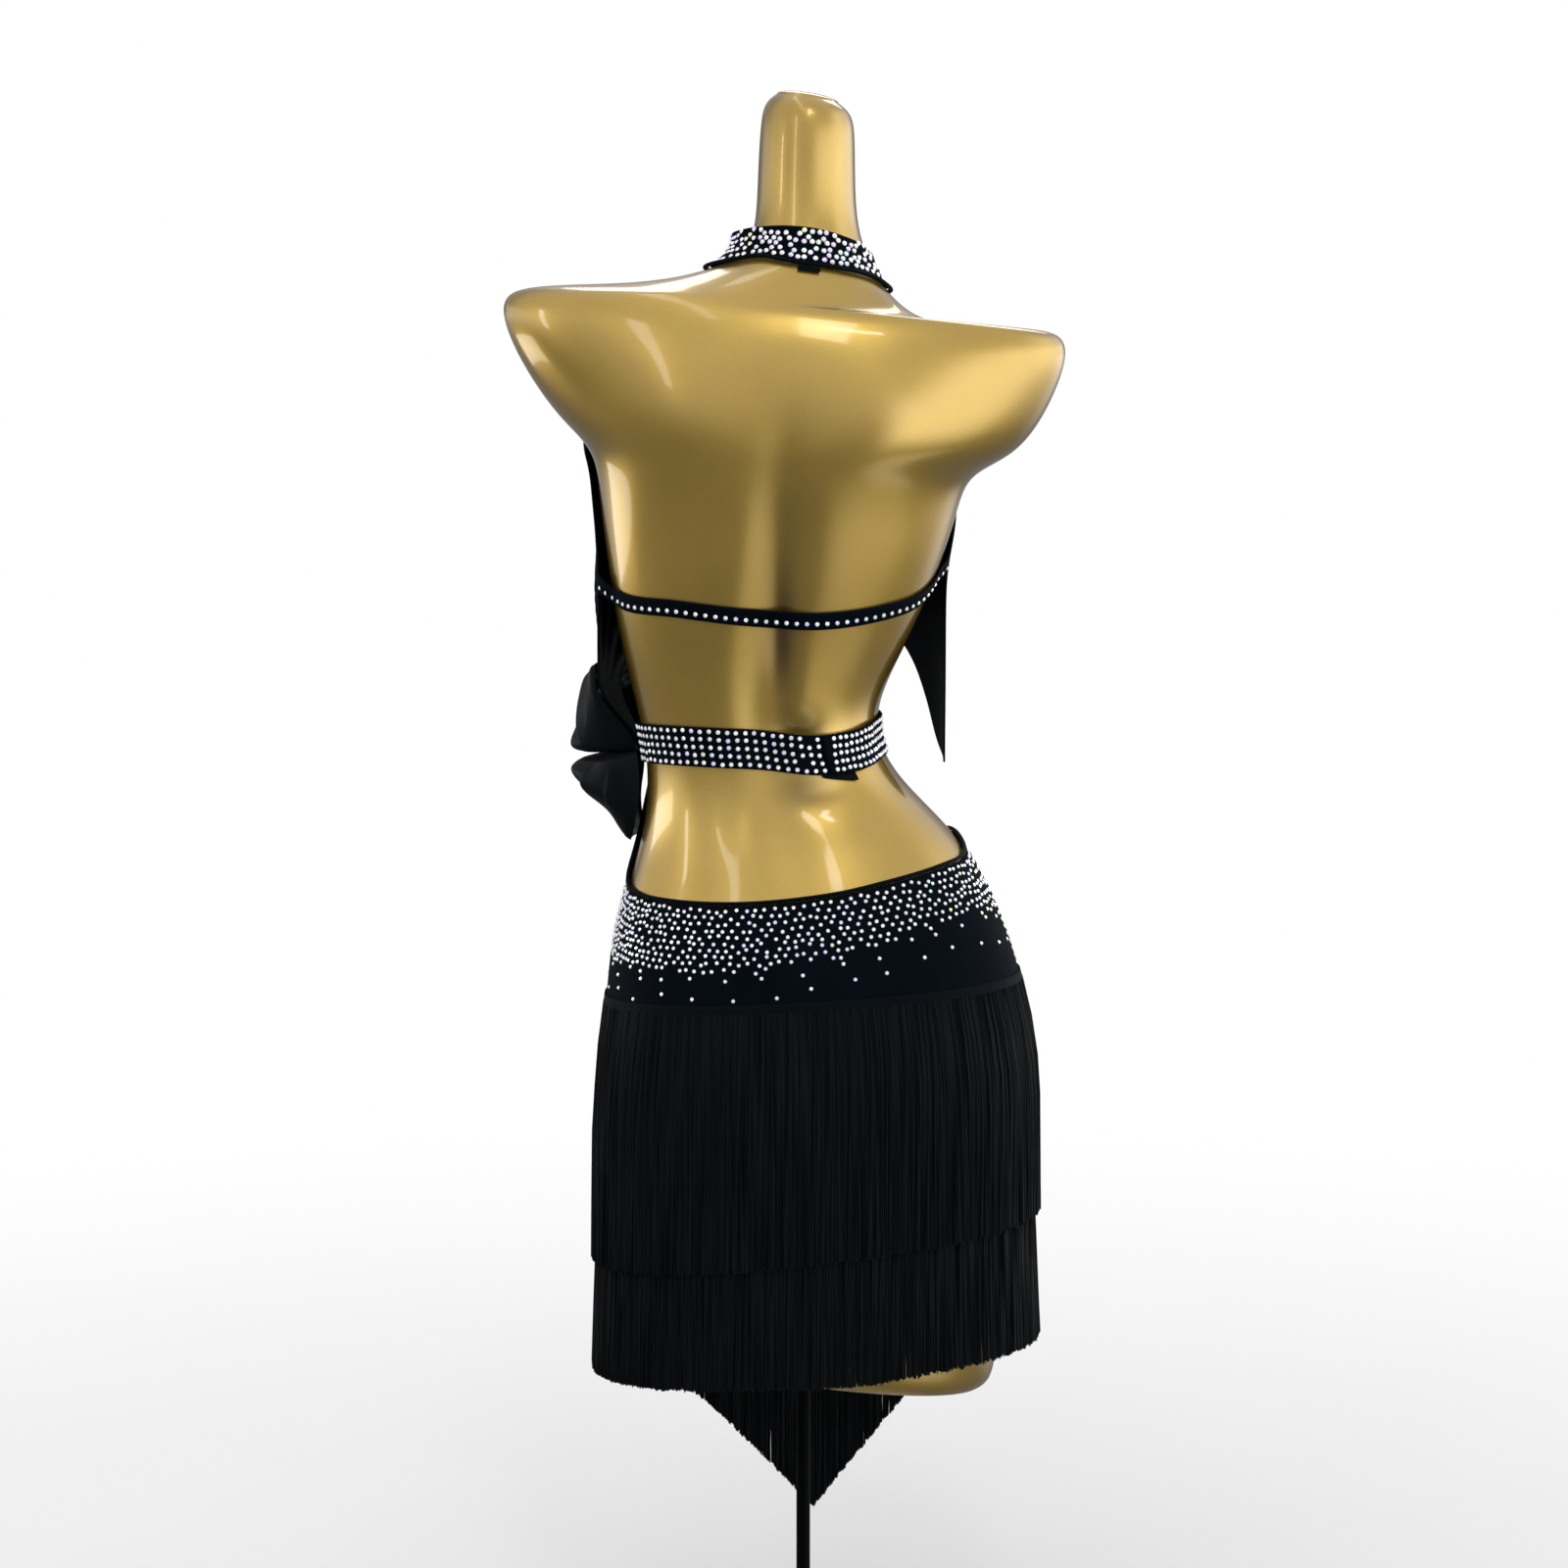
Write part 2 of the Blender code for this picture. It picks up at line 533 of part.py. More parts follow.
def make_belt(black):
    """Waist belt: one strip whose end laps over itself at the back, with the hook tape below it."""
    first, last = BELT_ENDS
    turns = np.concatenate([turns_between(first, 360), turns_between(360, last)[1:]])
    lift = BELT_LIFT * (1 - step((turns - BELT_LIFT_TURNS[0]) / (BELT_LIFT_TURNS[1] - BELT_LIFT_TURNS[0])))
    middle = curve(BELT_MIDDLE, turns % 360, 360)
    band("belt", turns, middle - BELT_HEIGHT / 2, middle + BELT_HEIGHT / 2, 3, EASE + lift,
         BELT_THICKNESS, black)
    first, last, height = TONGUE
    turns = turns_between(first, last)
    top = curve(BELT_MIDDLE, turns, 360) - BELT_HEIGHT / 2 - 2 * GAP
    low = top - height * (0.3 + 0.7 * (turns - first) / (last - first))
    band("belt_tongue", turns, low, top, 2, EASE, CLOTH, black)


def make_strap(black):
    """Narrow strap across the open back, its ends rising to the bodice's side edges."""
    first, last = STRAP_LINE[0][0], STRAP_LINE[-1][0]
    near = np.array([3.0, 6.0])
    turns = np.unique(np.concatenate([turns_between(first, last), first + near, last - near]))
    middle = curve(STRAP_LINE, turns)
    end = (1 - step(np.minimum(turns - first, last - turns) / STRAP_FLARE_TURNS))[:, None]

    def place(turn, height, off):
        point = fitted(turn, height, off)
        return point + (bodice_point(turn + 360 * (turn < 90), height, off - EASE) - point) * end

    band("strap_back", turns, middle - STRAP_WIDTH / 2, middle + STRAP_WIDTH / 2, 2, EASE, CLOTH, black,
         place=place)


def make_collar(black):
    """Halter collar that leans on the neck, its bound foot and the closure tab at the back."""
    turns = np.arange(FORM_TURNS) * 360 / FORM_TURNS

    def ring(name, turns, low, high, rows, off, lean, thickness, closed):
        share = np.linspace(0, 1, rows)[:, None]
        row = np.interp(low + (high - low) * share, LEVELS, ROWS)
        turn = np.broadcast_to(turns, row.shape)
        wall(name, off_form(turn, row, off + lean * share),
             off_form(turn, row, off + lean * share + thickness), black, closed)

    low, high = curve(COLLAR_FOOT, turns, 360), curve(COLLAR_TOP, turns, 360)
    ring("collar", turns, low, high, 4, EASE + 0 * turns, curve(COLLAR_LEAN, turns, 360), 1.4 * CLOTH, True)
    ring("collar_binding", turns, low - 2 * GAP - COLLAR_BINDING, low - 2 * GAP, 2, EASE + 0 * turns, 0,
         1.6 * CLOTH, True)
    first, last, height = COLLAR_TAB
    turns = np.linspace(first, last, 4)
    low = curve(COLLAR_FOOT, turns, 360) - 3 * GAP - COLLAR_BINDING - height
    ring("collar_tab", turns, low, low + height, 2, EASE + 0 * turns, 0, CLOTH, False)


def bodice_folds(turn, height):
    """Ridges that fan out from the knot: a wave over the angle, which swells and fades with distance."""
    knot_turn, knot_height = FOLD_FROM
    around = np.radians(knot_turn - turn) * FOLD_RADIUS
    up = height - knot_height
    angle = np.degrees(np.arctan2(up, np.maximum(around, 1e-4)))
    reach = np.hypot(around, up)
    share = (angle - FOLD_FIRST) / (FOLD_LAST - FOLD_FIRST)
    wave = 0.5 - 0.5 * np.cos(math.tau * FOLD_COUNT * np.clip(share, 0, 1))
    swell = step((reach - FOLD_REACH[0]) / (FOLD_REACH[1] - FOLD_REACH[0]))
    fade = 1 - step((reach - FOLD_REACH[1]) / (FOLD_REACH[2] - FOLD_REACH[1]))
    return FOLD_DEPTH * wave * swell * fade


def bodice_point(turn, level, off):
    """Cloth over the bust, which hangs straight from the bust's fullest line to the knot."""
    hang = curve(BODICE_HANG, turn)
    eased = hang + HANG_SOFTNESS * np.logaddexp(0, (level - hang) / HANG_SOFTNESS)
    side = step((turn - SIDE_EASE_TURN) / 30) * step((SIDE_EASE_TOP - level) / 0.030)
    out = off + BODICE_EASE + BODICE_SIDE_EASE * side + bodice_folds(turn, level)
    point = off_form(turn, np.interp(eased, LEVELS, ROWS), out, bridged=True)
    point[..., 2] += level - eased
    low, high = GATHER_LEVELS
    first, last = GATHER_TURNS
    drawn = step((high - level) / (high - low)) * step((turn - first) / (last - first))
    over_belt = off_form(turn, np.interp(level, LEVELS, ROWS), EASE + BELT_THICKNESS + 2 * GAP + off)
    return point + (over_belt - point) * drawn[..., None]


def make_bodice(black):
    """Halter front in one piece: side edges, a hem with a corner that hangs, and folds to the knot."""
    columns, rows = BODICE_GRID
    share = np.linspace(0, 1, columns)[None, :]
    rise = np.linspace(0, 1, rows)[:, None]
    hem = curve(BODICE_HEM, share)
    level = hem + (BODICE_TOP - hem) * rise
    right = curve(BODICE_RIGHT, level[:, :1])
    left = curve(BODICE_LEFT, level[:, -1:])
    turn = right + (left - right) * share
    wall("bodice_front", bodice_point(turn, level, 0 * level), bodice_point(turn, level, CLOTH + 0 * level),
         black)


def make_knot(satin):
    """Bunch of gathered cloth on the drape at the wearer's left waist: two rounded heaps."""
    columns, count = HEAP_GRID
    share = np.linspace(0, 1, columns)[None, :]
    waves, wave_height, wave_share = HEAP_RIDGES
    for name, rows in KNOT.items():
        level, bulge, front, back = spline(rows, np.linspace(0, len(rows) - 1, count)).T[..., None]
        turn = front + (back - front) * share
        level = level + 0 * share
        ridge = 1 + wave_share * np.cos(math.tau * (waves * share + level / wave_height))
        full = np.sin(math.pi * share) ** HEAP_FULLNESS
        inner = CLOTH + HEAP_LIFT + 0 * level
        outer = inner + CLOTH + bulge * ridge * full
        wall(name, bodice_point(turn, level, inner), bodice_point(turn, level, outer), satin)


def main():
    for thing in list(bpy.data.objects):
        bpy.data.objects.remove(thing)
    gold = material("gold form", (0.62, 0.40, 0.10), 0.28, metallic=0.7)
    clear = material("clear acrylic", (0.92, 0.95, 0.96), 0.05, transmission=0.9)
    steel = material("black lacquered steel", (0.008, 0.009, 0.010), 0.3, metallic=0.4)
    stretch = material("black stretch cloth", (0.012, 0.014, 0.017), 0.55)
    crystal = material("black cloth with crystals", (0.05, 0.05, 0.06), 0.35, metallic=0.2)
    satin = material("black satin", (0.020, 0.024, 0.028), 0.35)
    threads = material("black fringe", (0.006, 0.007, 0.008), 0.6)
    make_stand(clear, steel)
    stand = set(bpy.data.objects)
    make_form(gold)
    make_yoke(crystal)
    make_skirt(stretch)
    make_fringe(threads)
    make_belt(crystal)
    make_strap(stretch)
    make_collar(crystal)
    make_bodice(stretch)
    make_knot(satin)
    level_mark = bpy.data.objects.new("level_mark", None)
    level_mark.location.z = LIFT
    hang_on(level_mark, set(bpy.data.objects) - stand - {level_mark})
    bpy.context.scene.collection.objects.link(level_mark)


main()
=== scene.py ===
"""Looks of a salsa dance dress on a gold dress form: cloth, fringe, crystals, lacquer and stage.

Metres, +Z up. The wearer's front faces -Y and the wearer's left is +X. A point of the form is found
from its turn (degrees about the form, 0 at the wearer's left, 90 at the back, 180 at the wearer's
right, 270 at the front) and its height or its row in the table of sections, and cloth is moved out
from there along the surface's normal. Heights and levels start LIFT above the floor.
"""

import math
from collections import namedtuple

import bpy
import numpy as np
from bpy.props import FloatProperty, FloatVectorProperty, PointerProperty
from bpy.types import NodeSocket, Operator, Panel, PropertyGroup
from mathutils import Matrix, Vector


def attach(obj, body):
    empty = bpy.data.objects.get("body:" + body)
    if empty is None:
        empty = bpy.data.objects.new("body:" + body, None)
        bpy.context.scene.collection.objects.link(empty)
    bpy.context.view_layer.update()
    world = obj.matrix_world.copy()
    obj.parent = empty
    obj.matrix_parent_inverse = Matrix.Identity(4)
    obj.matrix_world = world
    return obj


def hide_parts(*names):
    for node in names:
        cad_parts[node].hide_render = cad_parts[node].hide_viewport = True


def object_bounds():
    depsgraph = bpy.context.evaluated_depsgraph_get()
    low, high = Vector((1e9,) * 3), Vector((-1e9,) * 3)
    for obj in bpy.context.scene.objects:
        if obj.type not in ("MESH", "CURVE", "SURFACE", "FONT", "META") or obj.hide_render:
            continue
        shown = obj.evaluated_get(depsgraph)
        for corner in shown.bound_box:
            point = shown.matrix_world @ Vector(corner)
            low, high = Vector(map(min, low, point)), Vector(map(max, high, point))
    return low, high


bl_info = {
    "name": "Salsa dress on a form",
    "version": (1, 0, 0),
    "blender": (4, 5, 0),
    "location": "3D View > Sidebar > Salsa dress",
    "description": "Builds the dress's cloth, fringe and crystals, its form, its stand and a studio",
    "category": "Add Mesh",
}

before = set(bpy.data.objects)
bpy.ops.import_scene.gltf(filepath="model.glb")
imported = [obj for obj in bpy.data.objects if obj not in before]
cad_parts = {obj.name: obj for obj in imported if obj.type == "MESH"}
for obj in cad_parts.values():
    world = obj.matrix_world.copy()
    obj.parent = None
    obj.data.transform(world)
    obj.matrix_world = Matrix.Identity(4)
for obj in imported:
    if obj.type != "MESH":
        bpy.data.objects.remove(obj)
CAD_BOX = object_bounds()

# ---------------------------------------------------------------- the form and the cut (metres)

GAP = 0.0003
EASE = 0.0012
CLOTH = 0.0014
LIFT = 0.036

Section = namedtuple("Section", "level middle half_width back front tilt square")
FORM = [  # level: height at the middle; tilt: rise towards the wearer's left; square: 2 is an ellipse
    Section(0.1915, -0.009, 0.1330, 0.084, -0.088, 0.120, 2.4),
    Section(0.1965, -0.009, 0.1405, 0.090, -0.094, 0.119, 2.4),
    Section(0.2115, -0.009, 0.1445, 0.096, -0.096, 0.090, 2.4),
    Section(0.2520, -0.009, 0.1492, 0.103, -0.098, 0.020, 2.4),
    Section(0.3150, -0.009, 0.1555, 0.112, -0.100, 0.000, 2.4),
    Section(0.3750, -0.010, 0.1618, 0.122, -0.101, -0.008, 2.4),
    Section(0.4300, -0.010, 0.1658, 0.127, -0.102, -0.024, 2.4),
    Section(0.4700, -0.009, 0.1640, 0.126, -0.104, -0.045, 2.3),
    Section(0.5050, -0.007, 0.1590, 0.120, -0.106, -0.062, 2.3),
    Section(0.5400, -0.002, 0.1510, 0.110, -0.107, -0.078, 2.3),
    Section(0.5700, 0.002, 0.1410, 0.098, -0.106, -0.100, 2.3),
    Section(0.5980, 0.008, 0.1280, 0.085, -0.104, -0.120, 2.3),
    Section(0.6250, 0.016, 0.1110, 0.074, -0.101, -0.118, 2.3),
    Section(0.6550, 0.026, 0.0965, 0.066, -0.097, -0.090, 2.3),
    Section(0.6850, 0.033, 0.0905, 0.063, -0.094, -0.070, 2.3),
    Section(0.7150, 0.036, 0.0945, 0.065, -0.093, -0.040, 2.3),
    Section(0.7500, 0.033, 0.1065, 0.071, -0.095, -0.010, 2.3),
    Section(0.7900, 0.028, 0.1205, 0.079, -0.099, 0.000, 2.3),
    Section(0.8300, 0.023, 0.1310, 0.086, -0.103, 0.010, 2.3),
    Section(0.8650, 0.020, 0.1380, 0.091, -0.105, 0.025, 2.3),
    Section(0.8950, 0.018, 0.1430, 0.095, -0.105, 0.045, 2.3),
    Section(0.9100, 0.015, 0.1530, 0.097, -0.104, 0.065, 2.3),
    Section(0.9240, 0.012, 0.1740, 0.098, -0.101, 0.073, 2.2),
    Section(0.9450, 0.012, 0.1920, 0.098, -0.096, 0.074, 2.1),
    Section(0.9750, 0.014, 0.2090, 0.096, -0.088, 0.074, 2.0),
    Section(1.0030, 0.015, 0.2190, 0.090, -0.079, 0.074, 2.0),
    Section(1.0190, 0.015, 0.2160, 0.083, -0.071, 0.074, 2.0),
    Section(1.0240, 0.015, 0.2010, 0.0787, -0.0664, 0.0805, 2.0),
    Section(1.0257, 0.015, 0.1800, 0.0771, -0.0650, 0.091, 2.0),
    Section(1.0264, 0.015, 0.1500, 0.0765, -0.0643, 0.110, 2.0),
    Section(1.0284, 0.015, 0.1210, 0.0746, -0.0620, 0.127, 2.0),
    Section(1.0329, 0.013, 0.0960, 0.0706, -0.0560, 0.142, 2.0),
    Section(1.0443, 0.008, 0.0730, 0.0604, -0.0487, 0.110, 2.0),
    Section(1.0557, 0.000, 0.0560, 0.050, -0.047, 0.093, 2.0),
    Section(1.0716, -0.003, 0.0440, 0.043, -0.047, 0.068, 2.0),
    Section(1.0950, -0.002, 0.0385, 0.037, -0.049, 0.045, 2.0),
    Section(1.1300, -0.002, 0.0375, 0.033, -0.052, 0.040, 2.0),
    Section(1.1650, -0.003, 0.0365, 0.030, -0.053, 0.080, 2.0),
    Section(1.1790, -0.003, 0.0335, 0.026, -0.050, 0.120, 2.0),
    Section(1.1860, -0.003, 0.0240, 0.016, -0.041, 0.150, 2.0),
]
FORM_GRID = (300, 240)  # rings, points in a ring
NECK_DOME = 0.0045  # how far the neck's end is rounded up
NECK_RINGS = (12, 84, 7)  # degrees up of the dome's first and last ring, and their count

BUST_APART = 0.072
BUST_HEIGHT = 0.866
BUST_DEPTH = 0.030
BUST_SPREAD = (0.046, 0.050)
SPINE_DEPTH = 0.007
SPINE_SPREAD = (0.020, 0.110)
SPINE_HEIGHT = 0.770
Hollow = namedtuple("Hollow", "across height depth wide tall dark")
HOLLOWS = [  # furrow of the spine, the small of the back and the loins; dark: how much painted shade darkens the lacquer in them, down the furrow and under the belt
    Hollow(0.0165, 0.770, 0.0048, 0.0105, 0.052, 0.95), Hollow(0.004, 0.697, 0.0060, 0.0180, 0.016, 0.60),
    Hollow(-0.018, 0.648, 0.0030, 0.0240, 0.014, 0.0), Hollow(0.052, 0.640, 0.0018, 0.0120, 0.030, 0.0),
    Hollow(0.016, 0.850, 0.0030, 0.0200, 0.060, 0.25), Hollow(0.001, 0.655, 0.0010, 0.0200, 0.016, 0.60),
]
BLADE_DEPTH = 0.007
BLADE_APART = 0.082
BLADE_HEIGHT = 0.935
BLADE_SPREAD = (0.045, 0.055)

HIP_HEIGHT = 0.4300
HIP_RADIUS = 0.148  # mean, for lengths round the hips
SEAM_HEIGHT = 0.4960
SEAM_TILT = -0.060
YOKE_TOP = [  # turn, height
    (0, 0.5910), (12, 0.5765), (30, 0.5700), (46, 0.5682), (72, 0.5688), (102, 0.5768),
    (120, 0.5852), (141, 0.5935), (165, 0.6000), (180, 0.6080), (195, 0.6110), (225, 0.6040),
    (262, 0.6000), (295, 0.6140), (318, 0.6440), (334, 0.6590), (347, 0.6330),
]
BINDING_HEIGHT = 0.0032
BINDING_SIDES = 10  # of every bound edge's round braid

SKIRT_FOOT = 0.262
STRIP_HEIGHT = 0.009
STRIP_THICKNESS = 0.0012
UPPER_STRIP_RISE = 0.004
UPPER_FLARE = [(0.0, 0.0), (0.2, 0.0026), (0.45, 0.0064), (1.0, 0.0076)]  # share of the fall, outwards
LOWER_FLARE = [(0.0, 0.0), (1.0, 0.0062)]
UPPER_HEM = 0.3010
UPPER_HEM_TILT = -0.125
LOWER_STRIP = 0.372
LOWER_HEM = 0.2075
LOWER_HEM_TILT = -0.085
POINT_HEIGHT = 0.0375
POINT_ACROSS = -0.009
POINT_SLOPES = (1.09, 1.32)  # rise of the hem per metre to the point's left and to its right
THREAD_STATIONS = 7  # rings in each thread
TAPE_HEIGHT = 0.0108  # woven tape that the threads are sewn to

BELT_ENDS = (119.0, 498.0)
BELT_THICKNESS = 0.0020
BELT_LIFT = 0.0026  # of the lapping end
BELT_LIFT_TURNS = (141.0, 160.0)
BELT_MIDDLE = [  # turn, height
    (0, 0.6868), (20, 0.6880), (62, 0.6888), (90, 0.6866), (117, 0.6822), (135, 0.6845),
    (155, 0.6910), (180, 0.6940), (270, 0.6895),
]
BELT_HEIGHT = 0.0292
TONGUE = (115.5, 131.0, 0.0062)  # first and last turn, height
TONGUE_TIP = 0.3  # share of its height at its first end

STRAP_LINE = [  # turn, height of the back strap's middle
    (11.2, 0.8110), (20, 0.8040), (58, 0.7955), (90, 0.7885), (110, 0.7868),
    (135, 0.7930), (160, 0.8050), (172, 0.8160), (184.9, 0.8330),
]
STRAP_WIDTH = 0.012
STRAP_FLARE_TURNS = 12.0  # degrees over which its ends rise to the halter
STRAP_MARGINS = (0.004, 0.003)  # from the strap's ends to its stones
STRAP_STONE_DROP = 0.16  # how far below its middle they sit, as a share of its width

COLLAR_FOOT = [  # turn, level
    (0, 1.0500), (22, 1.0545), (50, 1.0610), (80, 1.0592), (115, 1.0576), (150, 1.0545), (180, 1.0480),
    (225, 1.0458), (270, 1.0445), (315, 1.0460),
]
COLLAR_TOP = [(90, 1.0830), (40, 1.0800), (0, 1.0700), (140, 1.0760), (180, 1.0680), (270, 1.0700)]
COLLAR_LEAN = [  # turn, how much farther out the collar's top stands than its foot
    (0, 0.0115), (50, 0.0060), (100, 0.0025), (180, 0.0015), (270, 0.0025), (325, 0.0070),
]
COLLAR_BINDING = 0.0034
COLLAR_CLOTH = 1.4 * CLOTH
COLLAR_TAB = (88.0, 103.0, 0.0026)  # first and last turn, height

BODICE_TOP = 1.0397
BODICE_RIGHT = [  # level, turn of the wearer's right side edge
    (0.660, 185.0), (0.760, 181.7), (0.825, 185.0), (0.850, 189.0), (0.880, 199.0), (0.905, 209.0),
    (0.924, 220.0), (0.945, 231.0), (0.975, 242.5), (1.005, 251.0), (1.019, 253.5), (1.0264, 249.3),
    (1.0329, 241.5), (1.041, 239.2),
]
BODICE_LEFT = [  # level, turn of the wearer's left side edge
    (0.660, 359.4), (0.720, 363.4), (0.780, 369.4), (0.830, 370.0), (0.885, 359.4), (0.905, 352.0),
    (0.924, 330.0), (0.945, 313.0), (0.975, 299.0), (1.005, 290.0), (1.019, 287.0), (1.0264, 291.0),
    (1.0329, 298.5), (1.041, 301.0),
]
BODICE_HEM = [  # share from the right edge to the left, level
    (0.000, 0.6730), (0.035, 0.6755), (0.122, 0.6940), (0.163, 0.7200), (0.203, 0.7450),
    (0.250, 0.7660), (0.350, 0.7840), (0.500, 0.7880), (0.620, 0.7820), (0.720, 0.7650),
    (0.800, 0.7400), (0.870, 0.7120), (0.930, 0.6900), (1.000, 0.6760),
]
BODICE_HANG = [  # turn, level from which the cloth hangs straight
    (184, 0.830), (215, 0.850), (240, 0.868), (270, 0.868), (300, 0.868), (330, 0.859), (359, 0.843),
]
BODICE_EASE = 0.0030
BODICE_SIDE_EASE = 0.0016
SIDE_EASE_TURN, SIDE_EASE_TOP = 325.0, 0.975
SIDE_EASE_SPANS = (30.0, 0.030)  # degrees and metres over which the side's ease sets in
HANG_SOFTNESS = 0.012  # metres over which fitted cloth turns into hanging cloth
FOLD_FROM = (350.0, 0.700)  # turn and level of the knot
FOLD_RADIUS = 0.125
FOLD_DEPTH = 0.0085
FOLD_FIRST, FOLD_LAST, FOLD_COUNT = 18.0, 88.0, 5  # degrees up from level, and how many
FOLD_REACH = (0.030, 0.110, 0.260)  # metres from the knot: folds begin, are deepest, end
BODICE_GRID = (110, 150)  # rows, columns
GATHER_LEVELS = (0.690, 0.735)  # where the cloth is drawn in over the belt towards the knot
GATHER_TURNS = (314.0, 336.0)

Crease = namedtuple("Crease", "angle first last depth width")
CREASES = [  # fine ridges and troughs from the knot: degrees up from level, metres away, mm, degrees
    Crease(12.0, 0.030, 0.150, 1.6, 2.6), Crease(22.5, 0.045, 0.210, -1.3, 2.0),
    Crease(31.0, 0.030, 0.120, 1.1, 1.8), Crease(38.5, 0.060, 0.240, -1.7, 2.4),
    Crease(46.0, 0.040, 0.160, 1.4, 1.7), Crease(53.0, 0.050, 0.280, -1.2, 2.2),
    Crease(60.5, 0.030, 0.140, 1.5, 1.9), Crease(69.0, 0.070, 0.250, -1.0, 2.3),
    Crease(76.0, 0.040, 0.180, 1.3, 2.0), Crease(83.5, 0.050, 0.130, -0.9, 1.8),
]
HEM_WIDTH, HEM_RISE, HEM_SLOPE = 0.007, 0.0004, 0.0012  # turned hem along the halter's edges

Heap = namedtuple("Heap", "level bulge front back")
KNOT = {  # each lobe's rows from its foot up: how far it stands out, and the turns it covers
    "upper": [
        Heap(0.6862, 0.054, 316, 361), Heap(0.6930, 0.073, 314, 362), Heap(0.7018, 0.0545, 311, 362),
        Heap(0.7085, 0.0385, 311, 362), Heap(0.7180, 0.025, 312, 362), Heap(0.7300, 0.014, 316, 361),
        Heap(0.7455, 0.013, 322, 358),
    ],
    "lower": [
        Heap(0.6210, 0.010, 332, 366), Heap(0.6245, 0.018, 326, 368), Heap(0.6388, 0.0285, 320, 371),
        Heap(0.6478, 0.0435, 317, 373), Heap(0.6615, 0.054, 316, 374), Heap(0.6755, 0.058, 316, 374),
        Heap(0.6857, 0.052, 318, 372),
    ],
}
HEAP_LIFT = 0.0023
HEAP_FULLNESS = 0.55  # power of the sine across a lobe
HEAP_RIDGES = (1.5, 0.060, 0.09)  # waves across a lobe, metres for one up it, share of the bulge
KNOT_GRID = (110, 120)
KNOT_END = 0.08  # share of a lobe's height over which each end is rounded in

PLEAT_SINK = 0.010  # how far cloth between the folds lies below the lobe's own surface
PLEAT_RISE = 0.035  # share of the lobe's width over which a fold rises
PLEAT_FULLNESS = 0.6  # power of the sine along a fold
Pleat = namedtuple("Pleat", "across_foot across_head first last depth width")
PLEATS = {  # laid folds: where each crosses the lobe's foot and head, its stretch, mm deep, share wide
    "upper": [
        Pleat(0.96, 0.52, 0.05, 0.98, 8.5, 0.20), Pleat(0.78, 0.36, 0.10, 0.92, 7.0, 0.18),
        Pleat(0.55, 0.20, 0.00, 0.85, 8.0, 0.20), Pleat(0.34, 0.08, 0.05, 0.80, 6.0, 0.15),
        Pleat(0.90, 0.80, 0.30, 1.00, 3.5, 0.08), Pleat(0.20, 0.62, 0.45, 1.00, 4.0, 0.12),
    ],
    "lower": [
        Pleat(0.80, 0.93, 0.10, 1.00, 5.5, 0.16), Pleat(0.62, 0.74, 0.00, 0.95, 6.5, 0.18),
        Pleat(0.44, 0.52, 0.10, 1.00, 5.0, 0.16), Pleat(0.26, 0.30, 0.00, 0.90, 6.0, 0.17),
        Pleat(0.12, 0.10, 0.20, 1.00, 3.5, 0.10),
    ],
}

STAND_RADIUS = 0.140
STAND_THICKNESS = 0.010
STAND_EDGE = 0.002
POLE_RADIUS = 0.0055
FLANGE_RADIUS = 0.036
FLANGE_THICKNESS = 0.006

# ---------------------------------------------------------------- what a user would change


def length(label, about, default):
    """Property that holds a length."""
    return FloatProperty(
        name=label, description=about, default=default, min=0.0, unit="LENGTH", precision=4
    )


def colour(label, about, default):
    """Property that holds a colour."""
    return FloatVectorProperty(
        name=label, description=about, default=default, min=0.0, max=1.0, size=3, subtype="COLOR"
    )


class DressSizes(PropertyGroup):
    """Stones and threads."""

    thread_width: length("Thread width", "Thickness of one fringe thread", 0.0013)
    thread_pitch: length("Thread pitch", "Distance between threads in one layer", 0.00100)
    hem_unevenness: length("Hem unevenness", "How much the threads' ends differ", 0.0034)
    yoke_stone: length("Yoke stone", "Diameter of a stone on the yoke", 0.0031)
    yoke_pitch: length("Yoke pitch", "Distance between stones on the yoke", 0.0061)
    belt_stone: length("Belt stone", "Diameter of a stone on the belt", 0.0036)
    belt_pitch: length("Belt pitch", "Distance between stones on the belt", 0.0071)
    collar_stone: length("Collar stone", "Diameter of a stone on the collar", 0.0042)
    collar_pitch: length("Collar pitch", "Distance between stones on the collar", 0.0061)
    strap_stone: length("Strap stone", "Diameter of a stone on the back strap", 0.0035)
    strap_pitch: length("Strap pitch", "Distance between stones on the back strap", 0.0078)


class DressColours(PropertyGroup):
    """Finishes."""

    gold: colour("Gold", "Pearl lacquer of the form", (0.550, 0.362, 0.064))
    # Deep gold at 0.45 is also the painted shade in the back's hollows.
    gold_deep: colour("Deep gold", "Lacquer seen at a slant", (0.26, 0.145, 0.020))
    jersey: colour("Jersey", "Stretch cloth", (0.0012, 0.0032, 0.0060))
    satin: colour("Satin", "Cloth of the knot", (0.0032, 0.0044, 0.0062))
    thread: colour("Thread", "Fringe", (0.0026, 0.0040, 0.0048))
    clear_stone: colour("Clear stone", "Most stones", (0.93, 0.94, 0.98))
    lilac_stone: colour("Lilac stone", "Stones that flash lilac", (0.72, 0.58, 0.98))
    aqua_stone: colour("Aqua stone", "Stones that flash blue", (0.58, 0.86, 0.98))
    lime_stone: colour("Lime stone", "Stones that flash yellow-green", (0.80, 0.95, 0.42))
    floor: colour("Floor", "Studio floor", (0.86, 0.86, 0.86))


